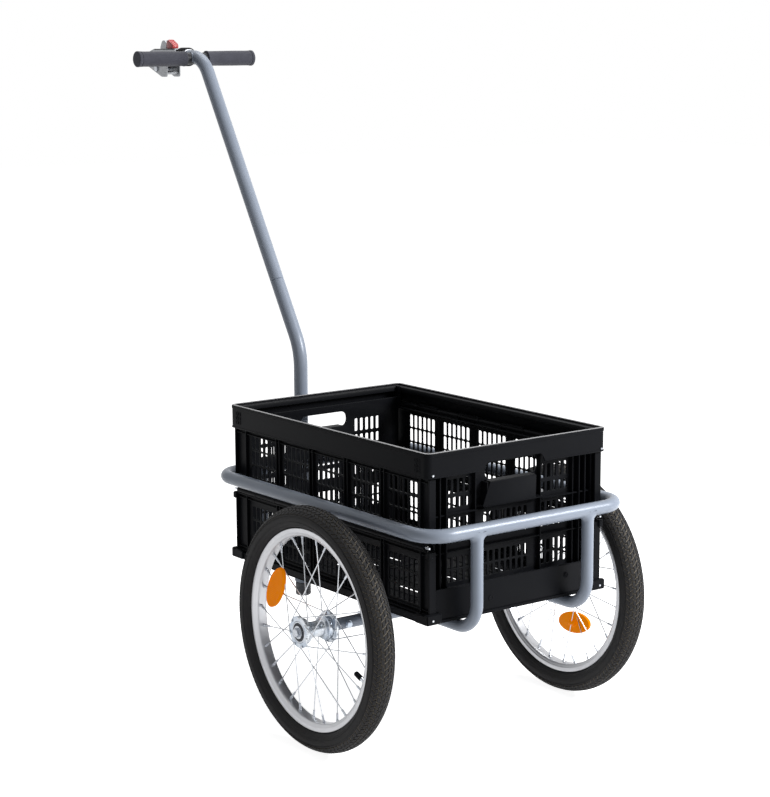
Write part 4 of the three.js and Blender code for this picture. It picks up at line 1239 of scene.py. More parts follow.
    def spoked_hub(self) -> None:
        """Turns the hub and laces it: each spoke has its head, its bend at the flange and its nipple."""
        piece = self.piece("spoked_hub", ZINC)
        right = [(18.7, 10.4), (18.7, 17.8), (29.6, 17.8), (30.0, 18.2), (30.0, 25.4), (29.4, 26.0),
                 (26.6, 26.0), (26.0, 25.4), (26.0, 21.6), (25.4, 20.6), (17.6, 20.4), (16.2, 19.4),
                 (14.8, 14.2), (13.4, 12.7)]
        piece.turned(both_ways(right), Vector(), X, 64)
        for way in (-1, 1):
            band = [(way * 6.2, 12.0), (way * 6.2, 13.2), (way * 8.4, 13.2), (way * 8.4, 12.0)]
            piece.turned(band, Vector(), X, 48)
        for index in range(self.spokes):
            route, end = self.spoke_route(index)
            piece.using(WIRE).tube(route, self.spoke_radius, 8)
            out = (route[0] - route[1]).normalized()
            piece.turned([(-0.4, 0), (-0.4, 2.1), (0.3, 2.1), (1.0, 1.3), (1.2, 0)], route[0], out, 14)
            along = (end - route[-2]).normalized()
            nipple = [(-13.5, 0), (-13.5, 1.5), (-13.0, 1.9), (-3.4, 1.9), (-2.6, 2.5), (0.6, 2.5), (0.6, 0)]
            piece.using(STEEL).turned(nipple, end, along, 10)
        piece.done()

    def bearing(self, name: str, way: int) -> None:
        """Makes a bearing with its two races and the rubber shield between them.

        Args:
            name: the node that it stands for, without its side.
            way: 1 at the wheel's outer side, -1 at its inner side.
        """
        inner, outer = 19.0, self.hub_half - 0.1
        profile = [(inner, 8.2), (inner, 17.0), (inner + 0.5, 17.5), (outer - 0.5, 17.5), (outer, 17.0),
                   (outer, 15.3), (outer - 0.8, 15.1), (outer - 0.8, 10.4), (outer, 10.2), (outer, 8.2),
                   (outer - 0.4, 7.8), (inner + 0.4, 7.8)]
        piece = self.piece(name, STEEL)
        piece.turned([(way * a, r) for a, r in profile], Vector(), X, 56)
        shield = [(way * (outer - 1.2), 10.4), (way * (outer - 0.4), 10.5), (way * (outer - 0.25), 12.8),
                  (way * (outer - 0.4), 15.0), (way * (outer - 1.2), 15.1)]
        piece.using(SEAL).turned(shield, Vector(), X, 56)
        piece.done()

    def reflector(self) -> None:
        """Moulds the oval reflector with a raised rim, a field of prisms and the clip on its spoke."""
        spin, tilt = (Matrix.Rotation(angle, 4, "X") for angle in (self.reflector_angle, self.reflector_tilt))
        piece = self.piece("reflector", AMBER)
        seat = Matrix.Translation((self.reflector_x, self.reflector_circle, 0))
        piece.place = piece.place @ spin @ seat @ tilt

        def oval(x: float, inset: float) -> list[Vector]:
            """Draws the lens's outline, drawn in from its edge."""
            half, reach = self.lens_half - inset, self.lens_reach - inset
            return [Vector((x, u * half, v * reach)) for u, v in circle(1.0, 64)]

        stack = ((0.2, 1.4), (0.5, 0.5), (1.2, 0.0), (4.6, 0.0), (5.9, 0.5), (6.6, 1.5), (6.9, 2.6),
                 (6.7, 3.4), (5.9, 3.8))
        piece.loft([oval(x, inset) for x, inset in stack])
        pitch = 3.4
        for i in range(-12, 13):
            for j in range(-6, 7):
                u, v = pitch * (j + 0.5 * (i % 2)), pitch * 0.87 * i
                if (u / 14.2) ** 2 + (v / 35.2) ** 2 < 0.94:
                    turns = [math.tau * (k + 0.5) / 6 for k in range(6)]
                    corners = [Vector((5.7, u + self.prism * math.cos(turn), v + self.prism * math.sin(turn)))
                               for turn in turns]
                    faces = [(k, (k + 1) % 6, 6) for k in range(6)]
                    piece.skin([*corners, Vector((6.7, u, v))], [*faces, (0, 1, 2, 3, 4, 5)])
        piece.block((-6.4, -3.2, -8), (0.6, 3.2, 8), 1.2)
        piece.done()

    def valve(self) -> None:
        """Makes the valve: threaded stem, lock nut and a knurled cap."""
        out = self.polar(0, 1, self.valve_angle)
        piece = self.piece("valve", STEEL)
        stem = [(137, 0), (137, 2.6)]
        for k in range(10):
            stem += [(137.6 + 1.3 * k, 2.6), (138.2 + 1.3 * k, 3.1)]
        piece.turned([*stem, (157, 3.1), (157, 0)], Vector(), out, 20)
        nut = [(147.6, 3.0), (147.6, 5.2), (148.2, 5.6), (150.2, 5.6), (150.6, 5.2), (150.6, 3.0)]
        piece.turned(nut, Vector(), out, 24)
        cap = [(121, 2.6), (121.8, 3.6), (123, 4.0), (137, 4.0), (138.4, 3.6), (138.4, 2.8)]
        piece.using(PLASTIC).turned([(121, 0), *cap, (138.4, 0)], Vector(), out, 24)
        for k in range(12):
            angle = math.tau * k / 12
            side = X * math.cos(angle) + out.cross(X) * math.sin(angle)
            piece.tube([out * 123.5 + side * 3.9, out * 136 + side * 3.9], 0.5, 6)
        piece.done()

    def stub_axle(self) -> None:
        """Turns the stub axle with its collar, and fits its bolt and end screw."""
        end = self.track + self.hub_half
        piece = self.piece("stub_axle", ZINC, False)
        piece.turned([(167.5, 0), (167.5, 7.4), (168.1, 8.0), (227.2, 8.0), (227.2, 10.4), (227.8, 11.0),
                      (230.6, 11.0), (231.2, 10.4), (231.2, 7.5), (end - 0.6, 7.5), (end, 6.9), (end, 4.4),
                      (end - 1, 4.3), (end - 1, 0)], Vector(), X)
        piece.done()
        bolt = self.piece("axle_bolt", ZINC, False)
        bolt.bolt(Vector((self.axle_bolt_x, 0, 0)), Y, M6, 20.0)
        bolt.done()
        screw = self.piece("end_screw", STEEL, False)
        seat = Vector((end + 0.3, 0, 0))
        screw.turned([(0, 3.6), (0, 10.2), (0.3, 10.5), (1.3, 10.5), (1.6, 10.2), (1.6, 3.6)], seat, X)
        screw.turned([(1.5, 0), (1.5, 6.9), (2.0, 6.9), (2.0, 0)], seat, X)
        screw.hexagon(seat + X * 1.9, X, 7.4, 4.6)
        screw.turned([(-18, 0), (-18, 3.4), (-17, 4.0), (2, 4.0), (2, 0)], seat, X, 20)
        screw.done()

    def build(self) -> None:
        """Makes the wheel and its axle."""
        self.stub_axle()
        self.tyre()
        self.rim()
        self.spoked_hub()
        self.bearing("outer_bearing", 1)
        self.bearing("inner_bearing", -1)
        self.reflector()
        self.valve()


# The tow pole with its bar and grips.


@dataclass
class TowPole:
    """The pole in two bent lengths, its foot cap, and the bar with two grips."""

    radius: float = 12.5
    foot: Vector = field(default_factory=lambda: Vector((0, 413, 129.3)))
    lean: Vector = field(default_factory=lambda: Vector((0, 413, 577)))
    seam: Vector = field(default_factory=lambda: Vector((0, 484.93, 696)))
    neck: Vector = field(default_factory=lambda: Vector((0, 726.70, 1096)))
    end: Vector = field(default_factory=lambda: Vector((0, 799.65, 1096)))
    lean_bend: float = 110.0
    neck_bend: float = 60.0
    joint_bolt: float = 22.5
    foot_low: float = 124.0
    bar: float = 11.0
    bar_half: float = 125.3
    bar_y: float = 754.05
    bar_height: float = 1093.0
    grip: float = 14.8
    grip_length: float = 104.0
    grip_end: float = 127.0

    def lengths(self) -> None:
        """Bends the two lengths; their ends are chamfered, so the joint shows as a fine dark line."""
        along = (self.neck - self.lean).normalized()
        lower = Workpiece("lower_pole", "frame", PAINT)
        route = bent([self.foot, self.lean, self.seam - along * 0.8], [0, self.lean_bend, 0], 14)
        lower.tube(route, self.radius, 32)
        shoulder = [(-1, 0), (-1, self.radius), (-0.8, self.radius), (0, self.radius - 0.8)]
        lower.turned([*shoulder, (0, 9.5), (6, 9.5), (6, 0)], self.seam, along)
        lower.done()
        upper = Workpiece("upper_pole", "frame", PAINT)
        start = self.seam + along * 0.3
        route = bent([start + along * 0.8, self.neck, self.end], [0, self.neck_bend, 0], 14)
        upper.tube(route, self.radius, 32)
        shoulder = [(0, 0), (0, self.radius - 0.8), (0.8, self.radius), (1, self.radius), (1, 0)]
        upper.turned(shoulder, start, along)
        for way in (-1, 1):
            upper.bead(self.bar_weld(way), 1.5, False)
        upper.done()
        pin = Workpiece("pole_joint_bolt", "frame", PAINT)
        half = self.radius + 0.5
        pin.turned([(-half, 0), (-half, 2.2), (-half + 0.6, 3.0), (half - 0.6, 3.0), (half, 2.2), (half, 0)],
                   self.seam + along * self.joint_bolt, X, 24)
        pin.done()

    def bar_weld(self, way: int) -> list[Vector]:
        """Draws the line where the bar enters the bend of the neck.

        Args:
            way: 1 for the right side, -1 for the left.

        Returns:
            The line's points.
        """
        tangent = (self.neck - self.lean).normalized()
        reach = self.neck_bend * math.tan(tangent.angle(Y) / 2)
        middle = self.neck + Y * reach - Z * self.neck_bend
        spots = []
        for k in range(-24, 25):
            angle = math.radians(5 * k)
            across, rise = self.bar * math.sin(angle), self.bar * math.cos(angle)
            spot = Vector((0, self.bar_y + across, self.bar_height + rise))
            off = (spot - middle).length - self.neck_bend
            if abs(off) < self.radius - 0.3:
                spots.append(spot + X * (way * math.sqrt(self.radius ** 2 - off ** 2)))
        return spots

    def cap(self) -> None:
        """Moulds the foot cap, with a grooved wall and a rounded floor."""
        low, outer, bore = self.foot_low, self.radius + 1.7, self.radius + 0.3
        profile = [(low, 0), (low, outer - 3), (low + 0.5, outer - 1.4), (low + 1.6, outer - 0.3),
                   (low + 2.6, outer)]
        for k in range(3):
            z = low + 6 + 4.5 * k
            profile += [(z, outer), (z + 0.5, outer - 0.6), (z + 1.5, outer - 0.6), (z + 2.0, outer)]
        profile += [(low + 23.4, outer), (low + 24, outer - 0.5), (low + 24, bore + 0.2), (low + 23.6, bore),
                    (low + 5, bore), (low + 5, 0)]
        piece = Workpiece("foot_cap", "frame", WAX)
        piece.turned(profile, Vector((0, self.foot.y, 0)), Z, 48)
        piece.done()

    def handlebar(self) -> None:
        """Makes the bar and slides a grip on each end."""
        middle = Vector((0, self.bar_y, self.bar_height))
        bar = Workpiece("handlebar", "frame", ENAMEL)
        half, radius = self.bar_half, self.bar
        bar.turned([(-half, 0), (-half, radius - 1), (-half + 1, radius), (half - 1, radius),
                    (half, radius - 1), (half, 0)], middle, X)
        bar.done()
        start, end, body = self.grip_end - self.grip_length, self.grip_end, self.grip - 0.7
        profile = [(start, 11.4), (start, body - 0.6), (start + 0.8, body + 0.3), (start + 2.6, body + 0.4),
                   (start + 4.0, body - 0.4), (start + 30, body - 0.2), (start + 60, body),
                   (end - 14, body - 0.1), (end - 8.4, body + 0.1), (end - 7.6, body - 0.6),
                   (end - 6.8, body - 0.6), (end - 6.0, body + 0.3), (end - 3.4, self.grip),
                   (end - 1.2, self.grip - 0.2), (end - 0.2, self.grip - 1.4), (end, 10), (end, 0),
                   (end - 1.3, 0), (end - 1.3, 11.4)]
        for side in Side:
            piece = Workpiece(side.named("grip"), "frame", FOAM)
            piece.turned(profile, middle, X * side.value, 48)
            piece.done()

    def build(self) -> None:
        """Makes the pole, cap, bar and grips."""
        self.lengths()
        self.cap()
        self.handlebar()


# The hitch coupling on the end of the pole.


@dataclass
class Coupling:
    """The pressed housing on the pole's end, with its hook, slider, spring, pin and boot."""

    half: float = 15.3
    wall: float = 2.5
    rear: float = 775.95
    channel_rear: float = 801.95
    front: float = 917.95
    axis_height: float = 1096.0
    top: float = 1111.3
    drop: float = 38.0
    pivot_y: float = 871.95
    pivot_height: float = 1074.0
    slider_rear: float = 823.95
    slider_front: float = 847.95
    slider_half: float = 6.5
    slider_height: float = 16.0
    tab_rear: float = 852.45
    tab_width: float = 24.0
    tab_top: float = 1127.0
    roof_front: float = 880.45
    pin_hole: float = 3.3
    bolt_y: float = 787.65

    def housing(self) -> None:
        """Presses the two cheeks and the roof from one sheet, with a round sleeve on the pole's end."""
        low, pivot, front = self.axis_height - self.drop, self.pivot_y, self.front
        mouth = pivot + 0.55 * (front - pivot)
        under = self.axis_height - self.half
        shape = [(self.channel_rear, under), (pivot - 38, under), (pivot - 38, low), (pivot - 18, low),
                 (pivot + 18, low + 14), (front, self.pivot_height + 9),
                 (mouth, self.pivot_height + 9), (mouth, self.axis_height - 3), (front, self.axis_height - 3),
                 (front, self.top - 11), (front - 5, self.top - 9), (self.roof_front, self.top),
                 (self.channel_rear, self.top)]
        hole = [(pivot + u, self.pivot_height + v) for u, v in circle(self.pin_hole, 24)]
        piece = Workpiece("coupling_housing", "frame", PHOSPHATE)
        for way in (-1, 1):
            a, b = sorted((way * self.half, way * (self.half - self.wall)))
            piece.plate(eased(shape, 4), Lay.ACROSS, a, b, [hole], 0.7)
        rear = self.channel_rear
        roof = rectangle(-self.half, self.half, rear, self.roof_front)
        slot = rectangle(-4.5, 4.5, self.slider_rear - 13, self.tab_rear + self.tab_width + 0.5, 3)
        piece.plate(eased(roof, 2), Lay.UP, self.top - self.wall, self.top, [slot], 0.7)
        sleeve = [(0, 12.8), (0, 14.6), (0.7, 15.3), (27.8, 15.3), (28.5, 14.6), (28.5, 12.8)]
        piece.turned(sleeve, Vector((0, self.rear, self.axis_height)), Y, 44)
        rivet = both_ways([(-self.half - 1.2, 0), (-self.half - 1.2, 2.2), (-self.half, 3.4)])
        seats = ((front - 10, self.axis_height + 1), (rear + 12, self.axis_height - 8), (pivot - 30, low + 8))
        for y, z in seats:
            piece.turned(rivet, Vector((0, y, z)), X, 24)
        piece.done()

    def jaw(self) -> None:
        """Cuts the hook from plate, with its nose below and the tab that stands up through the roof."""
        y, z = self.pivot_y, self.pivot_height
        nose, rear, wide, top = self.axis_height - 2.7, self.tab_rear, self.tab_width, self.tab_top
        shape = [(y - 9, z - 5.4), (y + 5.4, z - 9), (y + 9, z), (y + 9, nose), (y + 37.7, nose),
                 (y + 37.7, nose + 4.5), (rear + wide, nose + 9), (rear + wide, self.top + 3),
                 (rear + 0.75 * wide, top - 2.4), (rear + 0.6 * wide, top), (rear + 0.3 * wide, top),
                 (rear, top - 6.3)]
        piece = Workpiece("latch_jaw", "jaw", PHOSPHATE)
        hole = [(y + u, z + v) for u, v in circle(self.pin_hole, 24)]
        piece.plate(eased(shape, 3), Lay.ACROSS, -3.5, 3.5, [hole], 0.8)
        piece.done()

    def pin_and_spring(self) -> None:
        """Turns the jaw's pin and winds the spring beside the jaw."""
        centre = Vector((0, self.pivot_y, self.pivot_height))
        reach = self.half + 0.3
        pin = Workpiece("jaw_pin", "frame", STEEL)
        head = [(reach, 3.0), (reach, 5.2), (reach + 0.4, 5.5), (reach + 2.2, 5.2), (reach + 3, 3.6),
                (reach + 3, 0)]
        pin.turned([(-a, r) for a, r in reversed(head)] + head, centre, X)
        pin.done()
        spring = Workpiece("latch_spring", "frame", STEEL)
        turns = [math.tau * k / 24 for k in range(73)]
        coil = [centre + Vector((4.6 + 0.41 * turn / math.pi, 5.6 * math.cos(turn), 5.6 * math.sin(turn)))
                for turn in turns]
        spring.tube(coil, 0.62, 8)
        spring.done()

    def slider(self) -> None:
        """Moulds the red release slider: a ramped body with curved finger ribs, deeper at the front."""
        low, wide, tall = self.top + 0.3, self.slider_half, self.slider_height
        piece = Workpiece("release_slider", "slider", NYLON)
        back, face = self.slider_rear, self.slider_front
        side = [(back, low), (face, low), (face, low + tall - 2), (face - 3, low + tall),
                (face - 8, low + tall - 0.6), (back + 3, low + 0.55 * tall), (back, low + 0.4 * tall)]
        piece.plate(eased(side, 2.5), Lay.ACROSS, -wide, wide, edge=1.4)
        for k in range(4):
            y = back + 3.8 + 4.2 * k
            rise = low + tall * (0.55 + 0.42 * (y - back - 3) / (face - back - 11))
            arc = [Vector((wide * u, y + 1.4 * (1 - u * u), rise - 1.6 * u ** 4))
                   for u in (-0.98, -0.85, -0.65, -0.35, 0.0, 0.35, 0.65, 0.85, 0.98)]
            piece.tube(arc, 1.35, 12)
        piece.block((-4.2, back + 6, self.top - self.wall + 0.1), (4.2, face, low + 1), 0.4)
        piece.done()

    def boot(self) -> None:
        """Moulds the round black boot over the sleeve, with its grooves, and fits the coupling's bolt."""
        inner, outer, length = self.half + 0.3, self.half + 2.2, self.channel_rear - self.rear - 0.3
        profile = [(0, inner), (0, outer - 1.2), (0.6, outer - 0.4), (1.6, outer)]
        for k in range(3):
            a = 5.0 + 5.5 * k
            profile += [(a, outer), (a + 0.6, outer - 0.9), (a + 2.2, outer - 0.9), (a + 2.8, outer)]
        profile += [(length - 1.2, outer), (length, outer - 1.2), (length, inner)]
        piece = Workpiece("coupling_boot", "frame", PLASTIC)
        piece.turned(profile, Vector((0, self.rear, self.axis_height)), Y, 48)
        piece.done()
        bolt = Workpiece("coupling_bolt", "frame", ZINC)
        bolt.bolt(Vector((0, self.bolt_y, self.axis_height)), X, M6, 2 * outer)
        bolt.done()

    def build(self) -> None:
        """Makes the whole coupling."""
        self.housing()
        self.jaw()
        self.pin_and_spring()
        self.slider()
        self.boot()


# The folding box.


@dataclass
class FoldingBox:
    """The folding box, from its rear bottom edge: tray, two-leaf sides, swinging ends and the top frame."""

    width: float = 363.0
    length: float = 553.0
    height: float = 271.0
    rear: float = -193.0
    bottom: float = 234.9
    band_low: float = 231.0
    band_proud: float = 3.0
    # how far below the rim's top the painted highlight reaches
    highlight_depth: float = 0.9
    side_outer: float = 177.5
    side_inner: float = 164.0
    web_inner: float = 169.5
    web_outer: float = 172.0
    base_hinge: Flat = (173.5, 7.3)
    middle_hinge: Flat = (177.0, 121.7)
    top_hinge: Flat = (173.5, 236.1)
    knuckle: float = 4.5
    leaves: int = 9
    hinge_start: float = 11.0
    groups: int = 5
    group_pitch: float = 98.5
    columns: int = 6
    column_pitch: float = 12.9
    slot_width: float = 9.5
    field_shift: float = -5.0
    upper_rows: tuple[Flat, ...] = ((197.4, 220.2), (171.7, 194.6), (148.6, 169.0), (131.5, 146.0))
    lower_rows: tuple[Flat, ...] = ((74.6, 97.0), (49.4, 71.8), (24.2, 46.6))
    end_half: float = 163.2
    end_low: float = 5.0
    end_high: float = 250.0
    end_web: Flat = (20.0, 22.5)
    end_pivot: Flat = (16.0, 240.0)
    end_columns: float = 11.8
    end_slot: float = 6.9
    handle: tuple[float, float, float, float] = (-52.0, 56.0, 210.5, 236.5)
    handle_centre: float = -10.0
    front_narrower: float = 10.0
    grip_plate: Flat = (170.5, 210.5)
    end_upper_rows: tuple[Flat, ...] = ((197.2, 220.2), (174.6, 191.0))
    end_lower_rows: tuple[Flat, ...] = ((143.0, 158.4), (118.0, 135.5), (76.6, 95.5), (55.8, 74.0))

    @property
    def place(self) -> Matrix:
        """The box's place on the cross plates."""
        return Matrix.Translation((0, self.rear, self.bottom))

    @property
    def leaf_pitch(self) -> float:
        """The length of one knuckle's share of a hinge line."""
        return (self.length - 2 * self.hinge_start) / self.leaves

    def piece(self, name: str, body: str = "box", mirrored: bool = False,
              finish: Finish = PLASTIC) -> Workpiece:
        """Starts a piece of the box, mirrored for the left side."""
        mirror = Matrix.Scale(-1 if mirrored else 1, 4, X)
        return Workpiece(name, body, finish, self.place @ mirror)

    def hinge_leaves(self, piece: Workpiece, hinge: Flat, parity: int, reach: float) -> None:
        """Adds one leaf's share of a hinge line.

        Args:
            piece: the piece that the leaf belongs to.
            hinge: the line's X and Z.
            parity: 0 or 1, which of the interleaved knuckles are this leaf's.
            reach: the height at which the leaf's neck meets the piece.
        """
        x, z = hinge
        start, pitch = self.hinge_start, self.leaf_pitch
        for i in range(parity, self.leaves, 2):
            y0, y1 = start + pitch * i + 0.3, start + pitch * (i + 1) - 0.3
            profile = [(y0, 2.3), (y0, self.knuckle - 0.5), (y0 + 0.5, self.knuckle),
                       (y1 - 0.5, self.knuckle), (y1, self.knuckle - 0.5), (y1, 2.3)]
            piece.turned(profile, Vector((x, 0, z)), Y, 20)
            low, high = sorted((z + math.copysign(2.4, reach - z), reach))
            outer = min(x + self.knuckle, self.side_outer) - 0.6
            piece.block((x - self.knuckle + 0.6, y0 + 0.2, low), (outer, y1 - 0.2, high), 0.3)

    def slots(self, rows: Sequence[Flat]) -> list[list[Flat]]:
        """Draws the side panels' slots, in groups of columns.

        Args:
            rows: the lower and upper edge of each row of slots.

        Returns:
            The slots' outlines.
        """
        middle, half = self.length / 2 + self.field_shift, self.slot_width / 2
        holes = []
        for g in range(self.groups):
            group = middle + (g - (self.groups - 1) / 2) * self.group_pitch
            for c in range(self.columns):
                y = group + (c - (self.columns - 1) / 2) * self.column_pitch
                holes += [rectangle(y - half, y + half, low, high, 2.6, 3) for low, high in rows]
        return holes

    def side_leaf(self, name: str, mirrored: bool, span: Flat, rows: Sequence[Flat]) -> Workpiece:
        """Moulds half of a side: slotted web in a deep frame, with ribs between the slot groups.

        Args:
            name: the node that it stands for.
            mirrored: whether it is a left one.
            span: its lower and upper edge.
            rows: the lower and upper edge of each row of slots.

        Returns:
            The piece, still without its hinge leaves.
        """
        low, high = span
        y0, y1 = 1.5, self.length - 1.5
        piece = self.piece(name, mirrored=mirrored)
        web = rectangle(y0 + 1, y1 - 1, low + 1, high - 1)
        piece.plate(web, Lay.ACROSS, self.web_inner, self.web_outer, self.slots(rows), 0.45)
        inner, outer = self.side_inner, self.side_outer
        for a, b in ((low, low + 3), (high - 3, high)):
            piece.block((inner, y0, a), (outer, y1, b), 0.7)
        for a, b in ((y0, y0 + 3), (y1 - 3, y1)):
            piece.block((inner, a, low), (outer, b, high), 0.7)
        middle = self.length / 2 + self.field_shift
        for k in range(self.groups + 1):
            y = middle + (k - self.groups / 2) * self.group_pitch
            for shift in ((-4.5, 4.5) if 0 < k < self.groups else (0,)):
                rib = y + shift
                piece.block((self.web_inner, rib - 1.1, low + 1), (outer - 0.6, rib + 1.1, high - 1), 0.5)
        for z in (low + 8.0, high - 8.5):
            piece.block((self.web_outer - 1, y0 + 1, z - 0.9), (outer - 2.2, y1 - 1, z + 0.9), 0.4)
        return piece

    def sides(self, side: Side) -> None:
        """Makes one side's two halves and the three rods that they turn on.

        Args:
            side: the side of the trailer.
        """
        mirrored = side is Side.LEFT
        lower = self.side_leaf(side.named("lower_side"), mirrored, (12.4, 116.6), self.lower_rows)
        for y in (-2.0, self.length - 7.0):
            lower.block((172.0, y, 105.0), (self.side_outer + 3.5, y + 9.0, 116.4), 1.4)
        self.hinge_leaves(lower, self.base_hinge, 0, 14.0)
        self.hinge_leaves(lower, self.middle_hinge, 0, 115.0)
        lower.done()
        upper = self.side_leaf(side.named("upper_side"), mirrored, (126.8, 231.0), self.upper_rows)
        self.hinge_leaves(upper, self.middle_hinge, 1, 128.4)
        self.hinge_leaves(upper, self.top_hinge, 0, 229.4)
        upper.done()
        hinges = {"base": self.base_hinge, "middle": self.middle_hinge, "top": self.top_hinge}
        for name, hinge in hinges.items():
            rod = self.piece(side.named(f"{name}_hinge_rod"), mirrored=mirrored, finish=STEEL)
            x, z = hinge
            half = self.length / 2 - (0.9 if name == "middle" else -4.4)
            tip = [(half, 0), (half, 1.5), (half - 0.4, 1.9), (half - 0.9, 2.0)]
            rod.turned(both_ways(tip), Vector((x, self.length / 2, z)), Y, 16)
            rod.done()

    def tray(self) -> None:
        """Moulds the tray: drained floor with a raised grid, lips, upstands at both ends and corner feet."""
        half, length = self.width / 2, self.length
        piece = self.piece("base_tray")
        drains = []
        for i in range(6):
            for j in (-0.5, 0.5):
                u, v = (i - 2.5) * 49.57, length / 2 + j * length / 3
                drains.append(rectangle(u - 4, u + 4, v - 30, v + 30, 3.6, 4))
        piece.plate(rectangle(-half, half, 0, length, 8, 5), Lay.UP, 0, 2.5, drains, 0.5)
        for way in (-1, 1):
            low, high = sorted((way * (half - 2.5), way * half))
            piece.block((low, 8, 0.4), (high, length - 8, 12), 0.7)
        upstand = self.end_half
        for y in (3.0, length - 6.0):
            piece.plate(rectangle(-upstand, upstand, 0.5, 53, 2.5), Lay.ALONG, y, y + 3, edge=0.6)
            rear = y < length / 2
            face = y if rear else y + 3
            for x, z in ((-53, 23), (105, 35)):
                spot = Vector((x if rear else -x, face, z))
                piece.turned([(-0.5, 0), (-0.5, 5.2), (0.7, 4.8), (0.9, 3.6), (0.2, 3.0), (0.2, 0)], spot,
                             -Y if rear else Y, 24)
            for x in (-120, -60, 60, 120):
                inner = (y + 3, y + 9) if rear else (y - 6, y)
                piece.block((x - 1.2, inner[0] - 0.4, 2), (x + 1.2, inner[1], 44), 0.5)
            shelf = (y - 2.6, y + 0.4) if rear else (y + 2.6, y + 5.6)
            piece.block((-upstand, shelf[0], 0.6), (upstand, shelf[1], 4.6), 0.8)
        for k in range(1, 9):
            y = length * k / 9
            if abs(y - length / 2 - length / 6) > 32 and abs(y - length / 2 + length / 6) > 32:
                piece.block((-150, y - 1, 2), (150, y + 1, 3.8), 0.5)
        for x in (-148, -99.2, -49.6, 0, 49.6, 99.2, 148):
            piece.block((x - 1, 24, 2), (x + 1, length - 24, 3.6), 0.5)
        for way_x in (-1, 1):
            for way_y in (0, 1):
                xs = sorted((way_x * (half - 26), way_x * (half + 3.4)))
                ys = (-3.4, 6.0) if way_y == 0 else (length - 6.0, length + 3.4)
                piece.block((xs[0], ys[0], 0.2), (xs[1], ys[1], 17), 1.6)
                outer = sorted((way_x * (half - 3.2), way_x * (half + 3.2)))
                near = (-3.2, 30) if way_y == 0 else (length - 30, length + 3.2)
                piece.block((outer[0], near[0], 0.2), (outer[1], near[1], 15), 1.2)
        self.hinge_leaves(piece, self.base_hinge, 1, 1.6)
        mirror = self.piece("mirror", mirrored=True)
        self.hinge_leaves(mirror, self.base_hinge, 1, 1.6)
        self.take_in(piece, mirror)
        piece.done()

    @staticmethod
    def take_in(piece: Workpiece, other: Workpiece) -> None:
        """Adds another workpiece's skins to a piece of the same finish.

        Args:
            piece: the piece that gets them.
            other: the workpiece that they come from.
        """
        start = len(piece.points)
        piece.points += other.points
        piece.faces += [tuple(start + i for i in face) for face in other.faces]
        piece.marks += other.marks

    def band_plan(self, inset: float, z: float) -> list[Vector]:
        """Draws the band's plan at a height.

        Args:
            inset: how far it is drawn in from the band's outer face.
            z: the height.

        Returns:
            The plan's points.
        """
        inset -= self.band_proud
        half, radius = self.width / 2 - inset, max(9 - inset * 0.5, 3.0)
        return [Vector((u, v, z)) for u, v in rectangle(-half, half, inset, self.length - inset, radius, 6)]

    def notch(self, front: bool) -> Workpiece:
        """Draws the tool that cuts the hand notch in the band's lower edge.

        Args:
            front: whether the notch is the front one.

        Returns:
            The tool.
        """
        low, top, middle = self.band_low - 6, 244.4, self.handle_centre
        corners = [(-66, low), (66, low), (60, top - 6), (55, top), (-55, top), (-60, top - 6)]
        outline = [(middle + u, v) for u, v in eased(corners, 5, 5)]
        tool = self.piece("notch")
        a, b = (self.length - 6, self.length + 9) if front else (-9, 6)
        tool.loft([[Vector((u, y, v)) for u, v in outline] for y in (a, b)])
        return tool

    def top_frame(self) -> None:
        """Moulds the top frame: a band with a rounded rim, a flange and lip inside, and notches for hands."""
        low, high = self.band_low, self.height
        lip = 14.0 + self.band_proud
        section = [(0.4, low), (0.0, low + 0.5), (0.0, low + 2.4), (0.7, low + 3.0), (0.7, high - 7.0),
                   (0.0, high - 6.2), (0.0, high - 1.6), (0.5, high - 0.5), (1.6, high), (4.4, high),
                   (5.2, high - 0.6), (5.6, high - 3.4), (lip - 1.6, high - 3.4), (lip - 0.5, high - 3.9),
                   (lip, high - 5.0), (lip, high - 11.2), (lip - 0.6, high - 12), (lip - 2.4, high - 12),
                   (lip - 3.0, high - 11.2), (lip - 3.0, high - 7.0), (lip - 3.6, high - 6.4),
                   (3.8, high - 6.4), (3.2, high - 7.0), (3.2, low + 0.6), (2.8, low)]
        piece = self.piece("top_frame")
        piece.loft([self.band_plan(inset, z) for inset, z in section], True)
        for front in (False, True):
            piece.cut(self.notch(front))
        # The rim's top faces get a paler plastic: a painted highlight where the light catches the rim.
        piece.refinish(TOP_HIGHLIGHT, self.bottom + self.height - self.highlight_depth)
        for way in (-1, 1):
            for y in (16.0, self.length - 16.0):
                xs = sorted((way * 164.8, way * 168.8))
                piece.block((xs[0], y - 6, 234), (xs[1], y + 6, 269), 0.8)
            for y in (14.0, self.length - 33.0):
                for i in range(3):
                    for j in range(2):
                        self.pocket(piece, way, y + 7.6 * j + 2, low + 8 + 7.6 * i)
        for mirrored in (False, True):
            leaf = self.piece("leaf", mirrored=mirrored)
            self.hinge_leaves(leaf, self.top_hinge, 1, 242.0)
            for i in range(1, self.leaves, 2):
                y0, y1 = (self.hinge_start + self.leaf_pitch * k for k in (i, i + 1))
                leaf.block((173.5, y0 + 0.5, 236.7), (180.0, y1 - 0.5, 240.6), 0.3)
            self.take_in(piece, leaf)
        piece.done()

    def pocket(self, piece: Workpiece, way: int, y: float, z: float) -> None:
        """Adds the raised edge of one small square pocket near a corner of the band.

        Args:
            piece: the top frame.
            way: 1 for the right side, -1 for the left.
            y: the pocket's rear edge.
            z: its lower edge.
        """
        face, size, bar = self.width / 2 + self.band_proud - 0.7, 6.4, 1.1
        low, high = sorted((way * (face - 0.3), way * (face + 0.7)))
        bars = ((0, size, 0, bar), (0, size, size - bar, size),
                (0, bar, 0, size), (size - bar, size, 0, size))
        for a, b, c, d in bars:
            piece.block((low, y + a, z + c), (high, y + b, z + d), 0.25)

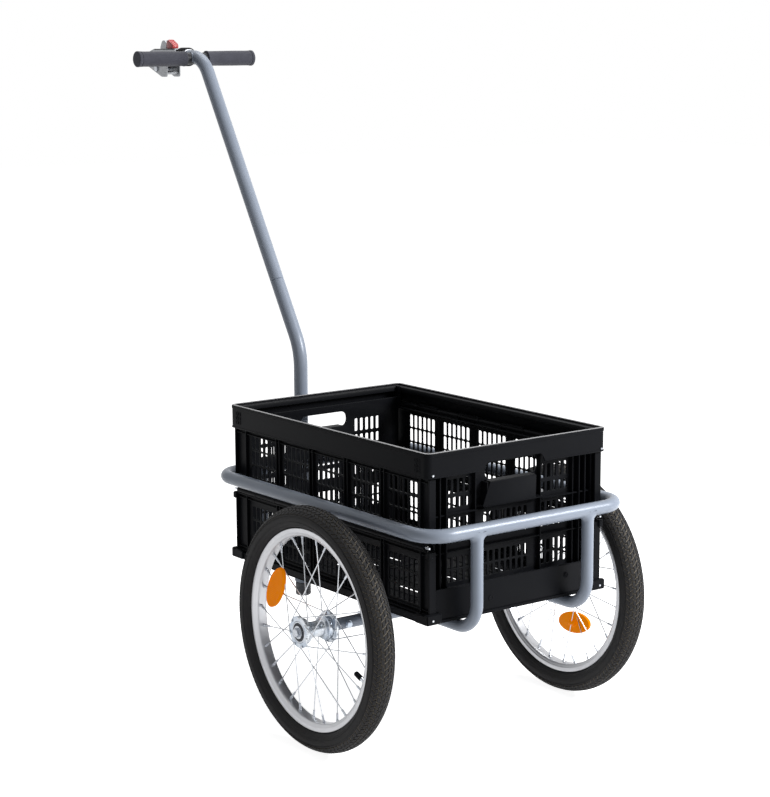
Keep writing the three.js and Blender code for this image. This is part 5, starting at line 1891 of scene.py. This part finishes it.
    def end_panel(self, name: str, body: str, front: bool) -> None:
        """Moulds an end: slotted web behind ribs, a hand opening over a proud grip plate, and its pivots.

        Args:
            name: the node that it stands for.
            body: the body that it moves with.
            front: whether it is the front one, the rear one's mirror image but for a narrower opening.
        """
        piece = self.piece(name, body)
        if front:
            piece.place = piece.place @ Matrix.Translation((0, self.length, 0)) @ Matrix.Scale(-1, 4, Y)
        half, (low, high), (y0, y1) = self.end_half, (self.end_low, self.end_high), self.end_web
        left, right, open_low, open_high = self.handle
        right -= self.front_narrower if front else 0
        centre = self.handle_centre
        sides = [way * (72.5 + self.end_columns * (k + 0.5)) for k in range(5) for way in (-1, 1)]
        middle = [self.end_columns * (k - 3.5) for k in range(8)]
        width = self.end_slot / 2
        holes = [rectangle(left, right, open_low, open_high, 11, 6)]
        for columns, rows in ((sides, self.end_upper_rows), ((*sides, *middle), self.end_lower_rows)):
            for x in (centre + u for u in columns if abs(centre + u) < half - 22):
                holes += [rectangle(x - width, x + width, a, b, 2.2, 3) for a, b in rows]
        piece.plate(rectangle(-half, half, low, high, 2), Lay.ALONG, y0, y1, holes, 0.45)
        for way in (-1, 1):
            for k in range(3):
                outer = half - 12.5 * k
                xs = sorted((way * (outer - 2.5), way * outer))
                piece.block((xs[0], 9, low + 0.5), (xs[1], 21.2, high - 0.5), 0.6)
            for u in (67.0, 135.5):
                x = centre + way * u
                if abs(x) < half - 30:
                    piece.block((x - 1.1, 12, low + 0.5), (x + 1.1, 21.2, high - 2), 0.5)
        across, beside = ((-half, half),), ((-half, left - 3), (right + 3, half))
        ribs = ((166.5, 11.5, beside), (138.8, 14, across), (106.5, 12.5, across), (48.5, 13, across),
                (247.8, 12, across), (6.8, 13, across))
        for z, reach, spans in ribs:
            for a, b in spans:
                piece.block((a + 0.4, reach, z - 1.1), (b - 0.4, 21.2, z + 1.1), 0.5)
        self.grip(piece)
        for way in (-1, 1):
            pivot = [(half - 3, 0), (half - 3, 3.5), (half + 4.4, 3.5), (half + 5, 2.9), (half + 5, 0)]
            piece.turned([(way * a, r) for a, r in pivot], Vector((0, *self.end_pivot)), X, 24)
        piece.done()

    def grip(self, piece: Workpiece) -> None:
        """Adds the proud plate under the hand opening, with its returns to the web.

        Args:
            piece: the end panel.
        """
        left, right = self.handle[:2]
        low, high = self.grip_plate
        face = [(left - 18, low), (right - 16, low), (right - 15, high), (left - 2, high)]
        piece.plate(eased(face, 3), Lay.ALONG, 4, 7, edge=0.9)
        piece.block((left - 1, 4.4, high - 3.2), (right - 15.6, 21.4, high), 1.0)
        piece.block((left + 0.6, 4.6, low), (right - 0.6, 21.4, low + 2.4), 0.8)
        for x in (left - 8, right - 18.6):
            piece.block((x, 4.6, low + 0.4), (x + 2.4, 21.4, high - 0.4), 0.8)
        for x in (left + 40, right - 42):
            piece.block((x, 6, low + 2), (x + 2, 21.2, high - 2), 0.5)

    def build(self) -> None:
        """Makes the whole box."""
        self.tray()
        for side in Side:
            self.sides(side)
        self.end_panel("rear_end_panel", "rear_panel", False)
        self.end_panel("front_end_panel", "front_panel", True)
        self.top_frame()


# The studio: camera, surround, floor and lamps.


@dataclass
class Studio:
    """The pale floor, soft lamps, white surround and the camera at the picture's viewing angle."""

    eye: Vector = field(default_factory=lambda: Vector((-2055.21022, -2605.55542, 1126.83449)))
    azimuth: float = -0.639300233
    elevation: float = 0.173375794
    roll: float = -0.00488836787
    focal: float = 2050.24288
    long_side: float = 797.0
    sensor: float = 36.0
    fill: float = 0.12
    floor_lift: float = 0.91

    @staticmethod
    def at(point: Vector) -> Vector:
        """Turns a point in millimetres from the axle into the scene's place in metres."""
        return Vector((point.x * METRES, point.y * METRES + Workpiece.shift, point.z * METRES))

    def camera(self) -> None:
        """Sets the camera where the picture was taken from."""
        a, e, r = self.azimuth, self.elevation, self.roll
        right = Vector((math.cos(a), math.sin(a), 0))
        back = Vector((math.sin(a) * math.cos(e), -math.cos(a) * math.cos(e), math.sin(e)))
        up = back.cross(right)
        across = right * math.cos(r) + up * math.sin(r)
        rise = up * math.cos(r) - right * math.sin(r)
        turn = Matrix((across, rise, back)).transposed().to_4x4()
        data = bpy.data.cameras.new("camera")
        data.sensor_width, data.lens = self.sensor, self.sensor * self.focal / self.long_side
        data.clip_end = 60
        thing = bpy.data.objects.new("camera", data)
        thing.matrix_world = Matrix.Translation(self.at(self.eye)) @ turn
        bpy.context.scene.collection.objects.link(thing)
        bpy.context.scene.camera = thing

    def lamp(self, name: str, place: Vector, target: Vector, size: float, power: float) -> None:
        """Hangs a square soft lamp.

        Args:
            name: the lamp's name.
            place: where it hangs, in millimetres.
            target: where it points.
            size: its side in metres.
            power: its power in watts.
        """
        data = bpy.data.lights.new(name, "AREA")
        data.shape, data.size, data.energy = "SQUARE", size, power
        thing = bpy.data.objects.new(name, data)
        turn = (place - target).to_track_quat("Z", "Y").to_matrix().to_4x4()
        thing.matrix_world = Matrix.Translation(self.at(place)) @ turn
        bpy.context.scene.collection.objects.link(thing)

    def surround(self) -> None:
        """Makes the white surround that the camera and gloss see, and its softer fill light."""
        world = bpy.data.worlds.new("surround")
        world.use_nodes = True
        tree = world.node_tree
        tree.nodes.clear()
        path = add_node(tree, "ShaderNodeLightPath")
        gloss = add_node(tree, "ShaderNodeMath", {"operation": "MAXIMUM"}, {
            0: path.outputs["Is Glossy Ray"], 1: path.outputs["Is Transmission Ray"]})
        seen = add_node(tree, "ShaderNodeMath", {"operation": "MAXIMUM"}, {
            0: gloss.outputs[0], 1: path.outputs["Is Camera Ray"]})
        fill = add_node(tree, "ShaderNodeBackground", inputs={
            "Color": linear("#ffffff"), "Strength": self.fill})
        white = add_node(tree, "ShaderNodeBackground", inputs={"Color": linear("#ffffff"), "Strength": 1.0})
        both = add_node(tree, "ShaderNodeMixShader", inputs={
            0: seen.outputs[0], 1: fill.outputs[0], 2: white.outputs[0]})
        add_node(tree, "ShaderNodeOutputWorld", inputs={"Surface": both.outputs[0]})
        bpy.context.scene.world = world

    def floor(self) -> None:
        """Lays a pale paper floor that keeps the trailer's shadow."""
        made = bpy.data.materials.new("pale_paper_floor")
        made.use_nodes = True
        tree = made.node_tree
        tree.nodes.clear()
        place = add_node(tree, "ShaderNodeTexCoord").outputs["Object"]
        fibre = add_node(tree, "ShaderNodeTexNoise", inputs={
            "Vector": place, "Scale": 60.0, "Detail": 3.0}).outputs[0]
        colour = add_node(tree, "ShaderNodeMix", {"data_type": "RGBA"}, {
            0: fibre, 6: linear("#f1f1f1"), 7: linear("#f3f3f3")}).outputs[2]
        paper = add_node(tree, "ShaderNodeBsdfDiffuse", inputs={"Color": colour})
        path = add_node(tree, "ShaderNodeLightPath")
        gloss = add_node(tree, "ShaderNodeMath", {"operation": "MAXIMUM"}, {
            0: path.outputs["Is Camera Ray"], 1: path.outputs["Is Glossy Ray"]})
        lift = add_node(tree, "ShaderNodeMath", {"operation": "MULTIPLY"}, {
            0: gloss.outputs[0], 1: self.floor_lift})
        glow = add_node(tree, "ShaderNodeEmission", inputs={
            "Color": linear("#ffffff"), "Strength": lift.outputs[0]})
        both = add_node(tree, "ShaderNodeAddShader", inputs={0: paper.outputs[0], 1: glow.outputs[0]})
        add_node(tree, "ShaderNodeOutputMaterial", inputs={"Surface": both.outputs[0]})
        mesh = bpy.data.meshes.new("floor")
        reach = 14.0
        corners = [(-reach, -reach, 0), (reach, -reach, 0), (reach, reach, 0), (-reach, reach, 0)]
        mesh.from_pydata(corners, [], [(0, 1, 2, 3)])
        mesh.materials.append(made)
        thing = bpy.data.objects.new("floor", mesh)
        bpy.context.scene.collection.objects.link(thing)

    def build(self) -> None:
        """Sets the view, camera, surround, floor and lamps."""
        bpy.context.scene.view_settings.view_transform = "Standard"
        self.camera()
        self.surround()
        self.floor()
        target = Vector((0, 150, 450))
        self.lamp("key", Vector((1716, -2137, 2100)), target, 1.2, 140.0)
        self.lamp("top", Vector((600, 1400, 3300)), target, 1.8, 34.0)


def main() -> None:
    """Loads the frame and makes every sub-assembly in order."""
    logging.basicConfig(level=logging.INFO, format="%(name)s %(message)s")
    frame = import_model()
    spin = next(joint for joint in frame["joints"] if joint["name"] == "left_wheel_spin")
    Workpiece.shift = spin["pos_m"][1]
    left = RunningGear(Side.LEFT, math.radians(17.04))
    right = RunningGear(Side.RIGHT, math.radians(79.84), reflector_circle=82.5,
                        reflector_angle=math.radians(178.51), reflector_x=16.6,
                        reflector_tilt=math.radians(4))
    parts = [Studio(), TubeFrame(), left, right, TowPole(), Coupling(), FoldingBox()]
    for part in parts:
        part.build()
        LOG.info("built %s", type(part).__name__)
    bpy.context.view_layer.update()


if __name__ == "__main__":
    main()
